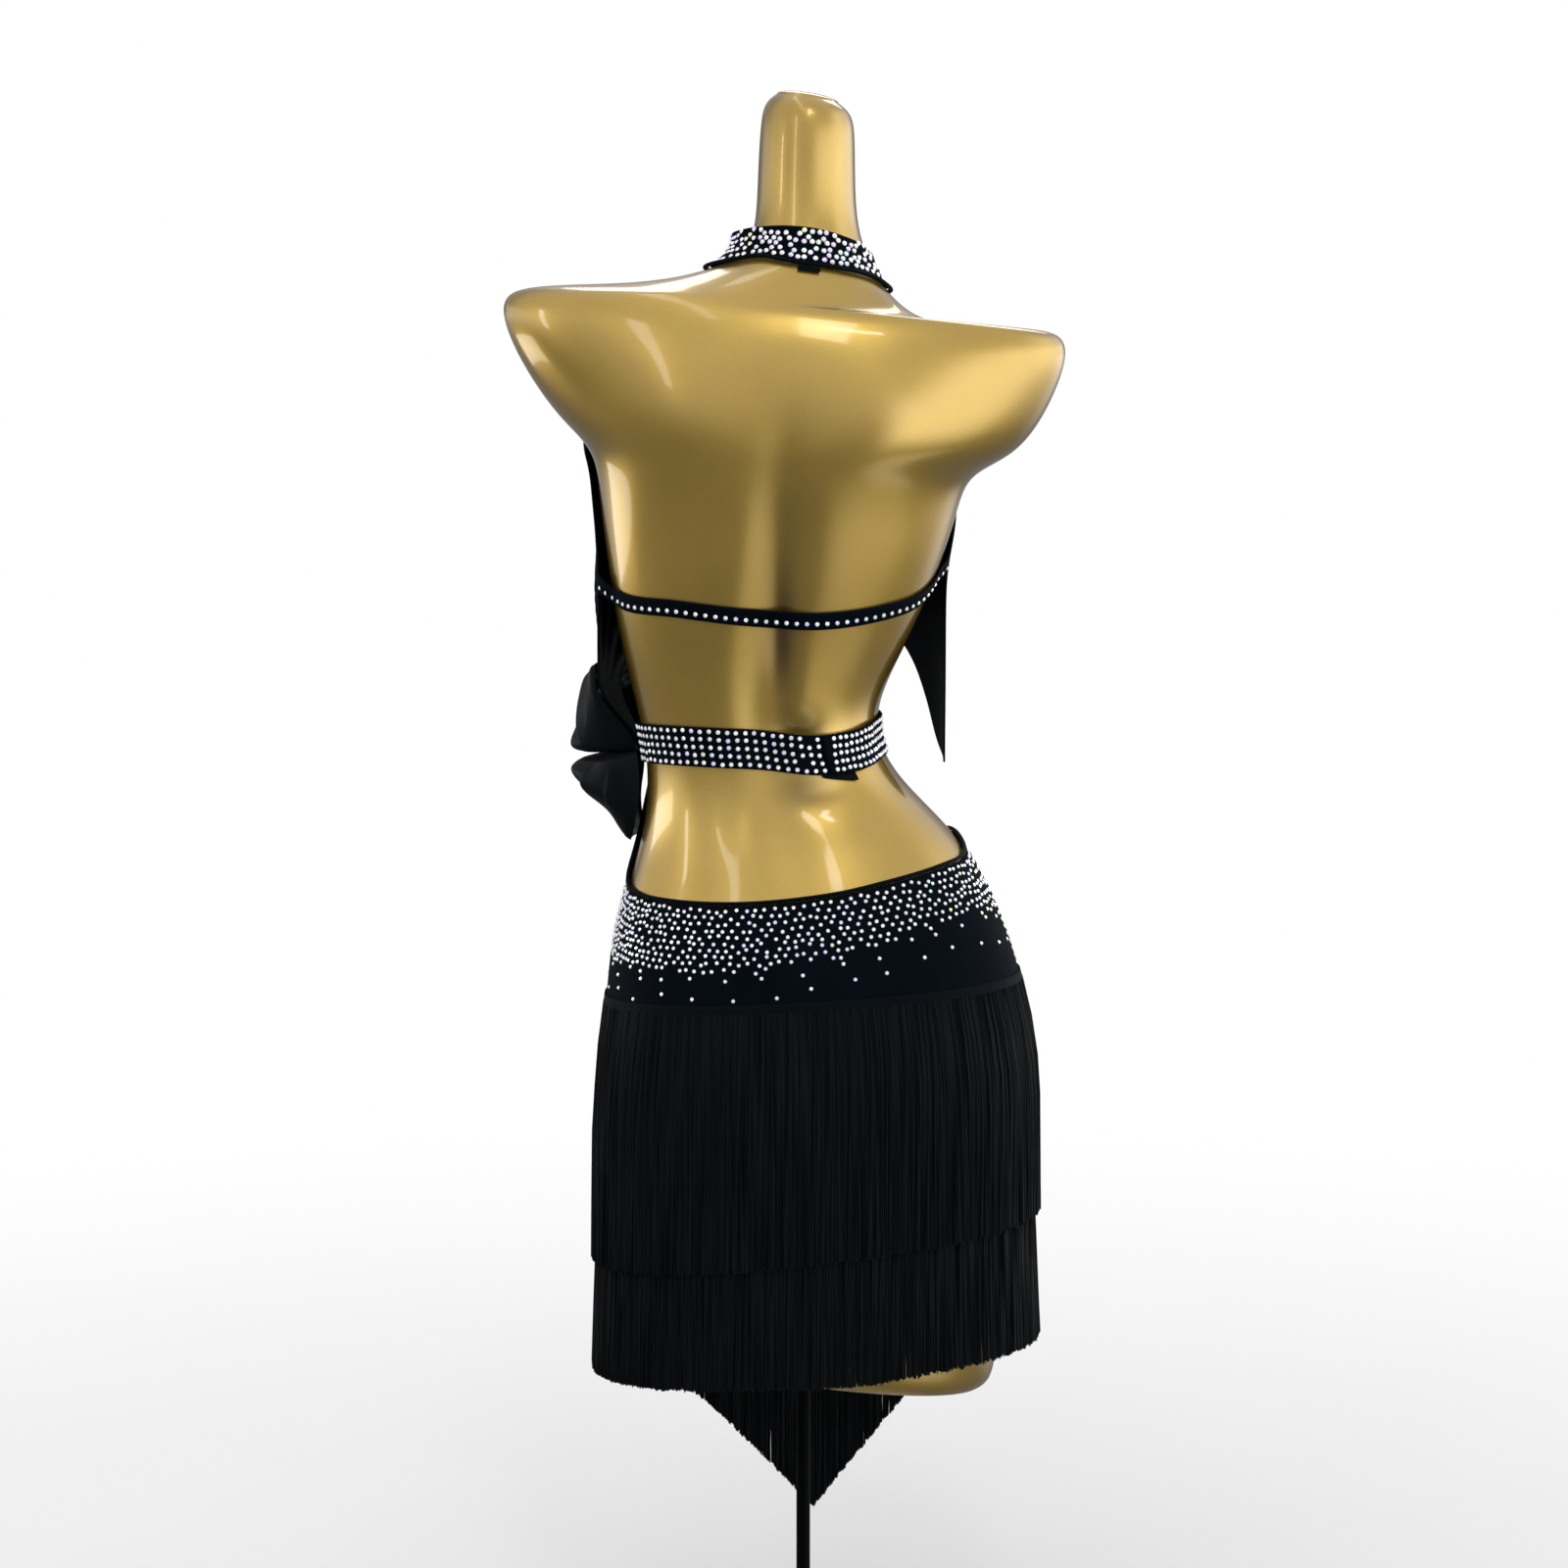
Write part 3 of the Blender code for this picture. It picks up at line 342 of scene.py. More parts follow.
class StageSetup(PropertyGroup):
    """Camera and lights."""

    distance: length("Distance", "From the camera to what it aims at", 2.9)
    aim_across: FloatProperty(
        name="Aim across", description="Sideways place of the aim", default=0.0154, unit="LENGTH"
    )
    aim_height: length("Aim height", "Height of the aim over the floor", 0.690)
    elevation: FloatProperty(
        name="Elevation",
        description="Angle at which the camera looks down",
        default=math.radians(6),
        subtype="ANGLE",
    )
    lens: FloatProperty(
        name="Lens", description="Focal length on a 36 mm sensor, in mm", default=84.74, min=10.0
    )
    brightness: FloatProperty(
        name="Brightness", description="Strength of all studio lights", default=1.0, min=0.0
    )


# ---------------------------------------------------------------- curves and the form's surface


def spline(rows, at):
    """Uniform cubic B-spline of a table at row numbers: each point is the four nearest rows, weighted."""
    rows = np.asarray(rows, float)
    rows = np.vstack([2 * rows[0] - rows[1], rows, 2 * rows[-1] - rows[-2]])
    at = np.clip(at, 0, len(rows) - 3)
    first = np.minimum(np.floor(at).astype(int), len(rows) - 4)
    f = (at - first)[..., None]
    weights = ((1 - f) ** 3, 3 * f**3 - 6 * f**2 + 4, -3 * f**3 + 3 * f**2 + 3 * f + 1, f**3)
    return sum(w * rows[first + i] for i, w in enumerate(weights)) / 6


def curve(table, at, period=None):
    """Cubic through a table's (place, value) rows with the rows' mean slopes; it may close on itself."""
    places, values = np.array(sorted(table), float).T
    if period:
        places = np.concatenate([places - period, places, places + period])
        values = np.tile(values, 3)
    slopes = np.gradient(values, places)
    at = np.clip(np.asarray(at, float), places[0], places[-1])
    i = np.clip(np.searchsorted(places, at, "right") - 1, 0, len(places) - 2)
    span = places[i + 1] - places[i]
    f = (at - places[i]) / span
    ends = values[i] * (1 + 2 * f) * (1 - f) ** 2 + values[i + 1] * f**2 * (3 - 2 * f)
    return ends + span * (slopes[i] * f * (1 - f) ** 2 - slopes[i + 1] * f**2 * (1 - f))


def step(x):
    """0 below 0, 1 above 1, and 3x^2 - 2x^3 between."""
    x = np.clip(x, 0, 1)
    return x * x * (3 - 2 * x)


def bell(x, spread):
    """e to the minus (x / spread) squared."""
    return np.exp(-((x / spread) ** 2))


def unit(vectors):
    """Vectors divided by their lengths."""
    return vectors / np.maximum(np.linalg.norm(vectors, axis=-1, keepdims=True), 1e-12)


def form_point(turn, row, bridged=False, bare=False):
    """Superellipse of a section at a turn, tilted, with bust, blades and spine added in depth.

    Bridged cloth spans the hollow between the bust's two sides. The bare form has finer hollows
    along its spine, each a bell across times a bell in height, which fitted cloth spans as well.
    """
    turn, row = np.broadcast_arrays(np.radians(turn), np.asarray(row, float))
    level, middle, half, back, front, tilt, square = np.moveaxis(spline(FORM, row), -1, 0)
    c, s = np.cos(turn), np.sin(turn)
    reach = (np.abs(c) ** square + np.abs(s) ** square) ** (-1 / square)
    across = half * reach * c
    z = level + tilt * across
    y = (back + front) / 2 + (back - front) / 2 * reach * s
    beyond = np.abs(across) - BUST_APART
    mound = bell(np.maximum(beyond, 0) if bridged else beyond, BUST_SPREAD[0])
    y = y - BUST_DEPTH * mound * bell(z - BUST_HEIGHT, BUST_SPREAD[1]) * step(-2 * s)
    groove = bell(across, SPINE_SPREAD[0]) * bell(z - SPINE_HEIGHT, SPINE_SPREAD[1])
    blade = bell(np.abs(across) - BLADE_APART, BLADE_SPREAD[0]) * bell(z - BLADE_HEIGHT, BLADE_SPREAD[1])
    y = y + (BLADE_DEPTH * blade - SPINE_DEPTH * groove) * step(2 * s)
    for dip in HOLLOWS if bare else ():
        inside = bell(middle + across - dip.across, dip.wide) * bell(z - dip.height, dip.tall)
        y = y - dip.depth * inside * step(2 * s)
    return np.stack([middle + across, y, z + LIFT], -1)


ROWS = np.linspace(0, len(FORM) - 1, 2001)
LEVELS = spline(FORM, ROWS)[:, 0]


def row_at(turn, height):
    """Table row at which the form reaches a height: the level is corrected by what it misses by."""
    height = np.asarray(height, float) + 0 * np.asarray(turn, float)
    level = height.copy()
    for _ in range(8):
        level = level + height + LIFT - form_point(turn, np.interp(level, LEVELS, ROWS))[..., 2]
    return np.interp(level, LEVELS, ROWS)


def off_form(turn, row, off, bridged=False):
    """Form point moved out along the normal, which is the cross product of two differences."""
    d_turn, d_row = 0.5, 0.05
    ahead, behind = form_point(turn + d_turn, row, bridged), form_point(turn - d_turn, row, bridged)
    above, below = form_point(turn, row + d_row, bridged), form_point(turn, row - d_row, bridged)
    normal = unit(np.cross(ahead - behind, above - below))
    return form_point(turn, row, bridged) + normal * np.asarray(off, float)[..., None]


def fitted(turn, height, off):
    """Fitted cloth: the form at a turn and height, moved out."""
    return off_form(turn, row_at(turn, height), off + 0 * height)


def hanging(turn, height, off):
    """Skirt and fringe: fitted above the widest hips, and straight down below them."""
    point = fitted(turn, np.maximum(height, HIP_HEIGHT), off)
    point[..., 2] = np.minimum(point[..., 2], height + LIFT)
    return point


def leaning(turn, level, off):
    """Collar: the form's surface at a level, moved out."""
    return off_form(turn, np.interp(level, LEVELS, ROWS), off + 0 * level)


def belted(turn, height, off):
    """Belt: fitted cloth whose lapping end is lifted."""
    first, last = BELT_LIFT_TURNS
    return fitted(turn, height, EASE + off + BELT_LIFT * (1 - step((turn - first) / (last - first))))


def seam_height(turn):
    """Height of the seam between the yoke and the underskirt, which tilts."""
    across = form_point(turn, row_at(turn, SEAM_HEIGHT))[..., 0]
    return SEAM_HEIGHT + SEAM_TILT * across


# ---------------------------------------------------------------- meshes


def cells(rows, columns, closed=False):
    """Corners of a grid's quads; they face out where rows go up and columns follow the turn."""
    r = np.arange(rows - 1)[:, None]
    c = np.arange(columns if closed else columns - 1)[None, :]
    d = (c + 1) % columns
    corners = (r * columns + c, r * columns + d, (r + 1) * columns + d, (r + 1) * columns + c)
    return np.stack(np.broadcast_arrays(*corners), -1).reshape(-1, 4)


def border(rows, columns, closed=False):
    """Numbers of a grid's border points, in the direction in which its quads run along them."""
    number = np.arange(rows * columns).reshape(rows, columns)
    if closed:
        return [number[0], number[-1][::-1]]
    return [np.concatenate([number[0, :-1], number[:-1, -1], number[-1, :0:-1], number[:0:-1, 0]])]


def add_object(name, data):
    """New object in the scene."""
    made = bpy.data.objects.new(name, data)
    bpy.context.scene.collection.objects.link(made)
    return made


def stands_for(piece, node_name):
    """Gives a piece its slot and the place of a CAD node."""
    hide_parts(node_name)


def new_piece(name, points, faces, made_of, sharp=50.0, cut=None, marks=None):
    """Mesh from arrays of points and of faces' corners; cut is its UV map, marks a colour at each point."""
    corners = np.concatenate([face.ravel() for face in faces])
    sizes = np.concatenate([np.full(len(face), face.shape[1]) for face in faces])
    mesh = bpy.data.meshes.new(name)
    mesh.vertices.add(len(points))
    mesh.vertices.foreach_set("co", np.asarray(points, np.float32).ravel())
    mesh.loops.add(len(corners))
    mesh.loops.foreach_set("vertex_index", corners.astype(np.int32))
    mesh.polygons.add(len(sizes))
    mesh.polygons.foreach_set("loop_start", (np.cumsum(sizes) - sizes).astype(np.int32))
    mesh.update(calc_edges=True)
    if sharp:
        mesh.shade_smooth()
        mesh.set_sharp_from_angle(angle=math.radians(sharp))
    else:
        mesh.shade_flat()
    if cut is not None:
        layer = mesh.uv_layers.new(name="cut")
        layer.data.foreach_set("uv", cut[corners].astype(np.float32).ravel())
    if marks is not None:
        layer = mesh.color_attributes.new(name="mark", type="FLOAT_COLOR", domain="POINT")
        layer.data.foreach_set("color", np.asarray(marks, np.float32).ravel())
    mesh.materials.append(made_of)
    piece = add_object(name, mesh)
    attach(piece, "root")
    return piece


def cut_lengths(points):
    """Distances along a grid's rows and columns from its first corner, as the flat cut has them."""
    along = np.linalg.norm(np.diff(points, axis=1), axis=-1)
    up = np.linalg.norm(np.diff(points, axis=0), axis=-1)
    along = np.pad(np.cumsum(along, axis=1), ((0, 0), (1, 0)))
    up = np.pad(np.cumsum(up, axis=0), ((1, 0), (0, 0)))
    return np.stack([along, up], -1)


def shell(name, inner, outer, made_of, closed=False):
    """Cloth between two grids of points, its rim rounded by a line halfway, half a thickness out."""
    rows, columns = outer.shape[:2]
    middle = (outer + inner) / 2
    half = np.linalg.norm(outer - inner, axis=-1, keepdims=True) / 2
    r, c = np.divmod(np.arange(rows * columns), columns)
    inward = np.clip(r, 1, rows - 2) * columns + (c if closed else np.clip(c, 1, columns - 2))
    flat_middle = middle.reshape(-1, 3)
    bulge = unit(flat_middle - flat_middle[inward]) * half.reshape(-1, 1)
    quads = cells(rows, columns, closed)
    count = rows * columns
    faces = [quads, count + quads[:, ::-1]]
    points = [outer.reshape(-1, 3), inner.reshape(-1, 3)]
    lengths = cut_lengths(outer).reshape(-1, 2)
    uv = [lengths, lengths]
    start = 2 * count
    for loop in border(rows, columns, closed):
        rim = start + np.arange(len(loop))
        after, rim_after = np.roll(loop, -1), np.roll(rim, -1)
        faces.append(np.stack([after, loop, rim, rim_after], -1))
        faces.append(np.stack([rim_after, rim, count + loop, count + after], -1))
        points.append(flat_middle[loop] + bulge[loop])
        uv.append(lengths[loop])
        start += len(loop)
    return new_piece(name, np.concatenate(points), faces, made_of, cut=np.concatenate(uv))


def band(name, turns, low, high, rows, off, thickness, made_of, place=fitted):
    """Strip of cloth between two height lines, and its outer grid."""
    share = np.linspace(0, 1, rows)[:, None]
    height = low + (high - low) * share
    turn = np.broadcast_to(turns, height.shape)
    inner, outer = place(turn, height, off), place(turn, height, off + thickness)
    return shell(name, inner, outer, made_of), outer


def ring_turns(count):
    """Turns of a ring's points, in degrees."""
    return np.arange(count) * 360 / count


def ring_angles(count):
    """Angles of a ring's points, in radians."""
    return np.arange(count) * math.tau / count


def binding(name, place, turns, middle, width, node_name):
    """Round braid along a closed line: circles in the plane of out and of up, joined end to end."""
    path, out, _ = seats(place, turns, middle, EASE + width / 2)
    up = unit(np.cross(unit(np.roll(path, -1, 0) - np.roll(path, 1, 0)), out))
    angle = ring_angles(BINDING_SIDES)[:, None, None]
    points = path + width / 2 * (np.cos(angle) * out + np.sin(angle) * up)
    c, d = np.arange(len(path)), (np.arange(len(path)) + 1) % len(path)
    last = (BINDING_SIDES - 1) * len(path)
    quads = [cells(BINDING_SIDES, len(path), True), np.stack([last + c, last + d, d, c], -1)]
    piece = new_piece(name, points.reshape(-1, 3), quads, braid())
    stands_for(piece, node_name)
    return piece


def sheet(outer):
    """Declares cloth: its cut is as wide and long as its grid's longest lines, with the grid's area."""
    lengths = cut_lengths(outer)
    width, height = float(lengths[..., 0].max()), float(lengths[..., 1].max())
    a, b = np.diff(outer, axis=1)[:-1], np.diff(outer, axis=0)[:, :-1]
    area = float(np.linalg.norm(np.cross(a, b), axis=-1).sum())
    area = min(max(area, LEAST_AREA * width * height), width * height)


PROBE = 0.002  # how far out a second point lies, which gives the way outwards
LEAST_AREA = 0.31  # share of a cut's length times width


def seats(place, turn, height, off, ahead=0.2):
    """Place, outward normal and sideways direction of points on cloth, by points farther out and ahead."""
    off = off + 0 * height
    at = place(turn, height, off)
    out = unit(place(turn, height, off + PROBE) - at)
    side = place(turn + ahead, height, off) - at
    side = unit(side - out * (side * out).sum(-1, keepdims=True))
    return at, out, side


def spaced(at, least):
    """Which points to keep, so that no two lie closer than least: the first of each close pair stays."""
    near = np.linalg.norm(at[:, None] - at, axis=-1) < least
    kept = np.ones(len(at), bool)
    for i in np.flatnonzero(np.triu(near, 1).any(axis=0)):
        kept[i] = not (near[i, :i] & kept[:i]).any()
    return kept


STONE_SIDES = 8
STONE_TABLE = 0.58  # the flat top's share of the width
STONE_HEIGHT = 0.52  # share of the radius
STONE_ROOM = {"yoke": 1.02, "collar": 0.95}  # least distance between stones, in their widths
LILAC_CHANCE = (0.08, 0.22)  # share of lilac stones everywhere, and more at the back's middle
LILAC_PLACE = (0.02, 0.09)  # across, spread
LIME_CHANCE = (0.03, 0.60)  # share of yellow-green stones everywhere, and more at the right hip
LIME_PLACE, LIME_SPANS = (-0.115, 0.63), (0.03, 0.05)  # across and height, where they begin and grow
AQUA_CHANCE = 0.07
TINT_SHARE = (0.25, 0.6)  # least share of a stone's tint, and how much more it can be
DIMMEST = 0.78


def set_stones(name, seat, diameter, seed):
    """Flat-backed stones: an eight-sided foot, a smaller eight-sided table, and facets between them."""
    at, out, side = seat
    angle = ring_angles(STONE_SIDES)
    rim = np.stack([np.cos(angle), np.sin(angle), 0 * angle], -1)
    one = np.concatenate([rim, rim * [STONE_TABLE, STONE_TABLE, 1] + [0, 0, STONE_HEIGHT]])
    axes = np.stack([side, np.cross(out, side), out], -2)
    points = at[:, None, :] + diameter / 2 * np.einsum("vi,nij->nvj", one, axes)
    first = (np.arange(len(at)) * len(one))[:, None, None]
    corner = np.arange(STONE_SIDES)
    walls = first + cells(2, STONE_SIDES, True)
    flats = [(first + number).reshape(-1, STONE_SIDES) for number in (STONE_SIDES + corner, corner[::-1])]
    marks = np.repeat(stone_tints(at, seed), len(one), axis=0)
    faces = [walls.reshape(-1, 4), *flats]
    piece = new_piece(name, points.reshape(-1, 3), faces, crystal(), sharp=None, marks=marks)
    return piece


def stone_tints(at, seed):
    """Colours of stones: mostly clear, lilac at the back's middle, yellow-green at the right hip."""
    shades = bpy.context.scene.dress_colours
    draw = np.random.default_rng(seed).random((len(at), 2))
    lilac = LILAC_CHANCE[0] + LILAC_CHANCE[1] * bell(at[:, 0] - LILAC_PLACE[0], LILAC_PLACE[1])
    hip = np.prod(step((np.array(LIME_PLACE) - at[:, [0, 2]]) / LIME_SPANS), axis=-1)
    lime = LIME_CHANCE[0] + LIME_CHANCE[1] * hip
    clear = np.array([*shades.clear_stone, 1.0])
    kinds = [(lime, shades.lime_stone), (lilac, shades.lilac_stone), (AQUA_CHANCE, shades.aqua_stone)]
    tints = np.tile(clear, (len(at), 1))
    bound = np.zeros(len(at))
    for chance, shade in kinds:
        chosen = (draw[:, 0] >= bound) & (draw[:, 0] < bound + chance)
        share = TINT_SHARE[0] + TINT_SHARE[1] * draw[chosen, 1:]
        tints[chosen] = clear + (np.array([*shade, 1.0]) - clear) * share
        bound = bound + chance
    tints[:, :3] *= DIMMEST + (1 - DIMMEST) * draw[:, 1:]
    return tints


# ---------------------------------------------------------------- shader nodes


def node(tree, kind, settings=None, **inputs):
    """New node; settings are its properties, and inputs fill its sockets."""
    new = tree.nodes.new(kind)
    for key, value in (settings or {}).items():
        setattr(new, key, value)
    set_sockets(tree, new, **inputs)
    return new


def fill(tree, socket, value):
    """Links a socket, or gives it a value."""
    if isinstance(value, NodeSocket):
        tree.links.new(value, socket)
    else:
        socket.default_value = value


def reckon(tree, operation, first, second=0.0):
    """Math node of two numbers."""
    new = tree.nodes.new("ShaderNodeMath")
    new.operation = operation
    fill(tree, new.inputs[0], first)
    fill(tree, new.inputs[1], second)
    return new.outputs[0]


def mixed(tree, share, first, second, blend="MIX"):
    """Mix node of two colours."""
    new = tree.nodes.new("ShaderNodeMix")
    new.data_type = "RGBA"
    new.blend_type = blend
    fill(tree, new.inputs[0], share)
    fill(tree, new.inputs[6], first)
    fill(tree, new.inputs[7], second)
    return new.outputs[2]


def opaque(shade, factor=1.0):
    """Shade times a factor, with full alpha."""
    return (*(min(1.0, channel * factor) for channel in shade), 1.0)


def object_place(tree):
    """Position on the object."""
    return node(tree, "ShaderNodeTexCoord").outputs["Object"]


def mark(tree):
    """Colour that the mesh holds at each point."""
    return node(tree, "ShaderNodeAttribute", {"attribute_name": "mark"}).outputs


def noise(tree, place, scale, detail=2.0):
    """Noise texture."""
    return node(tree, "ShaderNodeTexNoise", Vector=place, Scale=scale, Detail=detail).outputs


def ranged(tree, value, settings=None, **ends):
    """Value stretched from one range to another."""
    return node(tree, "ShaderNodeMapRange", settings, Value=value, **ends).outputs["Result"]


def bump(tree, strength, distance, height):
    """Normal of a surface raised by a height."""
    made = node(tree, "ShaderNodeBump", Strength=strength, Distance=distance, Height=height)
    return made.outputs["Normal"]


def seen_directly(tree):
    """1 for rays from the camera, through clear pieces too, and 0 for others."""
    rays = node(tree, "ShaderNodeLightPath").outputs
    return reckon(tree, "MAXIMUM", rays["Is Camera Ray"], rays["Is Transmission Ray"])


def node_group(name, sockets_in, sockets_out, build):
    """Shader node group, made once."""
    tree = bpy.data.node_groups.get(name)
    if tree:
        return tree
    tree = bpy.data.node_groups.new(name, "ShaderNodeTree")
    for label, kind, default in sockets_in:
        tree.interface.new_socket(name=label, in_out="INPUT", socket_type=kind).default_value = default
    for label, kind in sockets_out:
        tree.interface.new_socket(name=label, in_out="OUTPUT", socket_type=kind)
    build(tree, tree.nodes.new("NodeGroupInput").outputs, tree.nodes.new("NodeGroupOutput").inputs)
    return tree


def drift(tree, place, scale, low, high):
    """Slow change over a surface between a low and a high number."""
    group = {"node_tree": drift_group()}
    made = node(tree, "ShaderNodeGroup", group, Place=place, Scale=scale, Low=low, High=high)
    return made.outputs["Value"]


VECTOR, NUMBER = "NodeSocketVector", "NodeSocketFloat"
SMOOTH = {"interpolation_type": "SMOOTHSTEP"}


def drift_group():
    """Slow change over a surface: noise, stretched between a low and a high number."""

    def build(tree, given, result):
        spots = noise(tree, given["Place"], given["Scale"], 4.0)["Fac"]
        ends = {"To_Min": given["Low"], "To_Max": given["High"]}
        fill(tree, result["Value"], ranged(tree, spots, From_Min=0.3, From_Max=0.7, **ends))

    numbers = [("Scale", NUMBER, 20.0), ("Low", NUMBER, 0.0), ("High", NUMBER, 1.0)]
    return node_group("slow drift", [("Place", VECTOR, (0, 0, 0)), *numbers], [("Value", NUMBER)], build)


def knit_group():
    """Jersey: wales are a cosine across the cut, courses one up it, bent into a V inside each wale."""

    def build(tree, given, result):
        place = node(tree, "ShaderNodeSeparateXYZ", Vector=given["Cut"]).outputs
        across, up = (reckon(tree, "DIVIDE", place[axis], given["Stitch"]) for axis in "XY")
        bent = reckon(tree, "PINGPONG", across, 0.5)
        course = reckon(tree, "ADD", reckon(tree, "MULTIPLY", up, 1.25), bent)
        height = 0.5
        for share, turns in ((-0.3, across), (0.2, course)):
            wave = reckon(tree, "COSINE", reckon(tree, "MULTIPLY", turns, math.tau))
            height = reckon(tree, "ADD", reckon(tree, "MULTIPLY", wave, share), height)
        fill(tree, result["Height"], height)

    inputs = [("Cut", VECTOR, (0, 0, 0)), ("Stitch", NUMBER, 0.0008)]
    return node_group("jersey stitches", inputs, [("Height", NUMBER)], build)


def new_material(name, build):
    """Material with one Principled shader, made once and finished by build(tree, shader)."""
    made = bpy.data.materials.get(name)
    if made:
        return made
    made = bpy.data.materials.new(name)
    made.use_nodes = True
    build(made.node_tree, made.node_tree.nodes["Principled BSDF"])
    return made


def set_sockets(tree, target, **inputs):
    """Fills a node's sockets by name, with values or from other sockets."""
    for key, value in inputs.items():
        fill(tree, target.inputs[key.replace("_", " ")], value)


# ---------------------------------------------------------------- finishes


def gold_lacquer():
    """Pearl gold under clear lacquer: deeper where it slants or has pooled, with flake and a ripple."""
    shades = bpy.context.scene.dress_colours

    def build(tree, shader):
        place = object_place(tree)
        slant = node(tree, "ShaderNodeLayerWeight", Blend=0.35).outputs["Facing"]
        deep = reckon(tree, "MAXIMUM", slant, drift(tree, place, 7.0, 0.0, 0.35))
        base = mixed(tree, deep, opaque(shades.gold), opaque(shades.gold_deep))
        # Painted shade: the form's mark darkens the gold towards 0.45 of deep gold in the back's hollows.
        base = mixed(tree, mark(tree)["Fac"], base, opaque(shades.gold_deep, 0.45))
        flake = ranged(tree, noise(tree, place, 650.0, 1.0)["Fac"], To_Min=0.92, To_Max=1.06)
        grey = node(tree, "ShaderNodeCombineXYZ", X=flake, Y=flake, Z=flake).outputs["Vector"]
        ripple = bump(tree, 0.12, 0.0006, noise(tree, place, 38.0, 1.0)["Fac"])
        set_sockets(tree, shader, Base_Color=mixed(tree, 1.0, base, grey, "MULTIPLY"), Normal=ripple,
                    Roughness=drift(tree, place, 16.0, 0.28, 0.36), Metallic=0.8,
                    Coat_Weight=1.0, Coat_Roughness=0.07, Coat_IOR=1.55)

    return new_material("gold pearl lacquer", build)


def even_finish(name, scale, low, high, **constants):
    """One colour, with a slow drift of its roughness from low to high."""

    def build(tree, shader):
        set_sockets(tree, shader, Roughness=drift(tree, object_place(tree), scale, low, high), **constants)

    return new_material(name, build)


def clear_acrylic():
    """Cast acrylic, with faint scuffs in its roughness."""
    return even_finish("clear acrylic", 45.0, 0.02, 0.07, Base_Color=(0.96, 0.985, 0.99, 1.0),
                       Transmission_Weight=1.0, IOR=1.49)


def black_lacquer():
    """Black lacquered steel, a little uneven in its gloss."""
    return even_finish("black lacquered steel", 60.0, 0.40, 0.52, Base_Color=(0.0016, 0.0020, 0.0024, 1.0),
                       Specular_IOR_Level=0.03)


def cloth_finish(name, shade, stitch, relief, rough, sheen, gloss):
    """Knitted or woven cloth: stitches raised by bump, and a slow drift of colour and roughness."""

    def build(tree, shader):
        place = node(tree, "ShaderNodeTexCoord").outputs
        knit = node(tree, "ShaderNodeGroup", {"node_tree": knit_group()}, Cut=place["UV"], Stitch=stitch)
        stitches = knit.outputs["Height"]
        drifting = drift(tree, place["Object"], 22.0, 0.0, 1.0)
        share = reckon(tree, "MULTIPLY", reckon(tree, "ADD", stitches, drifting), 0.5)
        set_sockets(tree, shader, Base_Color=mixed(tree, share, opaque(shade, 0.65), opaque(shade, 1.45)),
                    Roughness=ranged(tree, drifting, To_Min=rough - 0.05, To_Max=rough + 0.06),
                    Normal=bump(tree, relief, 0.0003, stitches), Specular_IOR_Level=gloss,
                    Sheen_Weight=sheen, Sheen_Roughness=0.45, Sheen_Tint=(0.55, 0.65, 0.75, 1.0))

    return new_material(name, build)


def jersey():
    """Fine knit of the dress."""
    shade = bpy.context.scene.dress_colours.jersey
    return cloth_finish("black jersey", shade, 0.0009, 0.35, 0.62, 0.005, 0.025)


def satin():
    """Smooth cloth of the knot."""
    shade = bpy.context.scene.dress_colours.satin
    return cloth_finish("black satin", shade, 0.0005, 0.12, 0.40, 0.01, 0.07)


def braid():
    """Coarse ribs of tapes and bindings."""
    shade = bpy.context.scene.dress_colours.jersey
    return cloth_finish("black braid", shade, 0.0018, 0.8, 0.55, 0.01, 0.04)


def thread():
    """Chainette: each thread has its own darkness, and a twist that shows as fine slanting ridges."""
    shade = bpy.context.scene.dress_colours.thread

    def build(tree, shader):
        own = mark(tree)["Fac"]
        twist = node(tree, "ShaderNodeTexWave", {"bands_direction": "DIAGONAL"}, Vector=object_place(tree),
                     Scale=260.0).outputs["Fac"]
        set_sockets(tree, shader, Base_Color=mixed(tree, own, opaque(shade, 0.8), opaque(shade, 1.6)),
                    Normal=bump(tree, 0.3, 0.0002, twist),
                    Roughness=ranged(tree, own, To_Min=0.5, To_Max=0.66),
                    Specular_IOR_Level=0.07, Sheen_Weight=0.01, Sheen_Roughness=0.5)

    return new_material("black chainette", build)


def crystal():
    """Foil-backed glass: each stone's own tint, a mirror below clear glass, brighter at its slants."""

    def build(tree, shader):
        place = object_place(tree)
        pale = mixed(tree, 0.10, mark(tree)["Color"], noise(tree, place, 420.0)["Color"])
        smooth = ranged(tree, noise(tree, place, 900.0)["Fac"], To_Min=0.04, To_Max=0.16)
        # Emission in the stone's tint is a painted sparkle: the stones glow though they are no lamps.
        set_sockets(tree, shader, Base_Color=pale, Emission_Color=pale, Emission_Strength=0.42,
                    Roughness=smooth, Metallic=0.35, Specular_IOR_Level=0.9, Coat_Weight=1.0,
                    Coat_Roughness=0.02)

    return new_material("crystal", build)


# ---------------------------------------------------------------- pieces


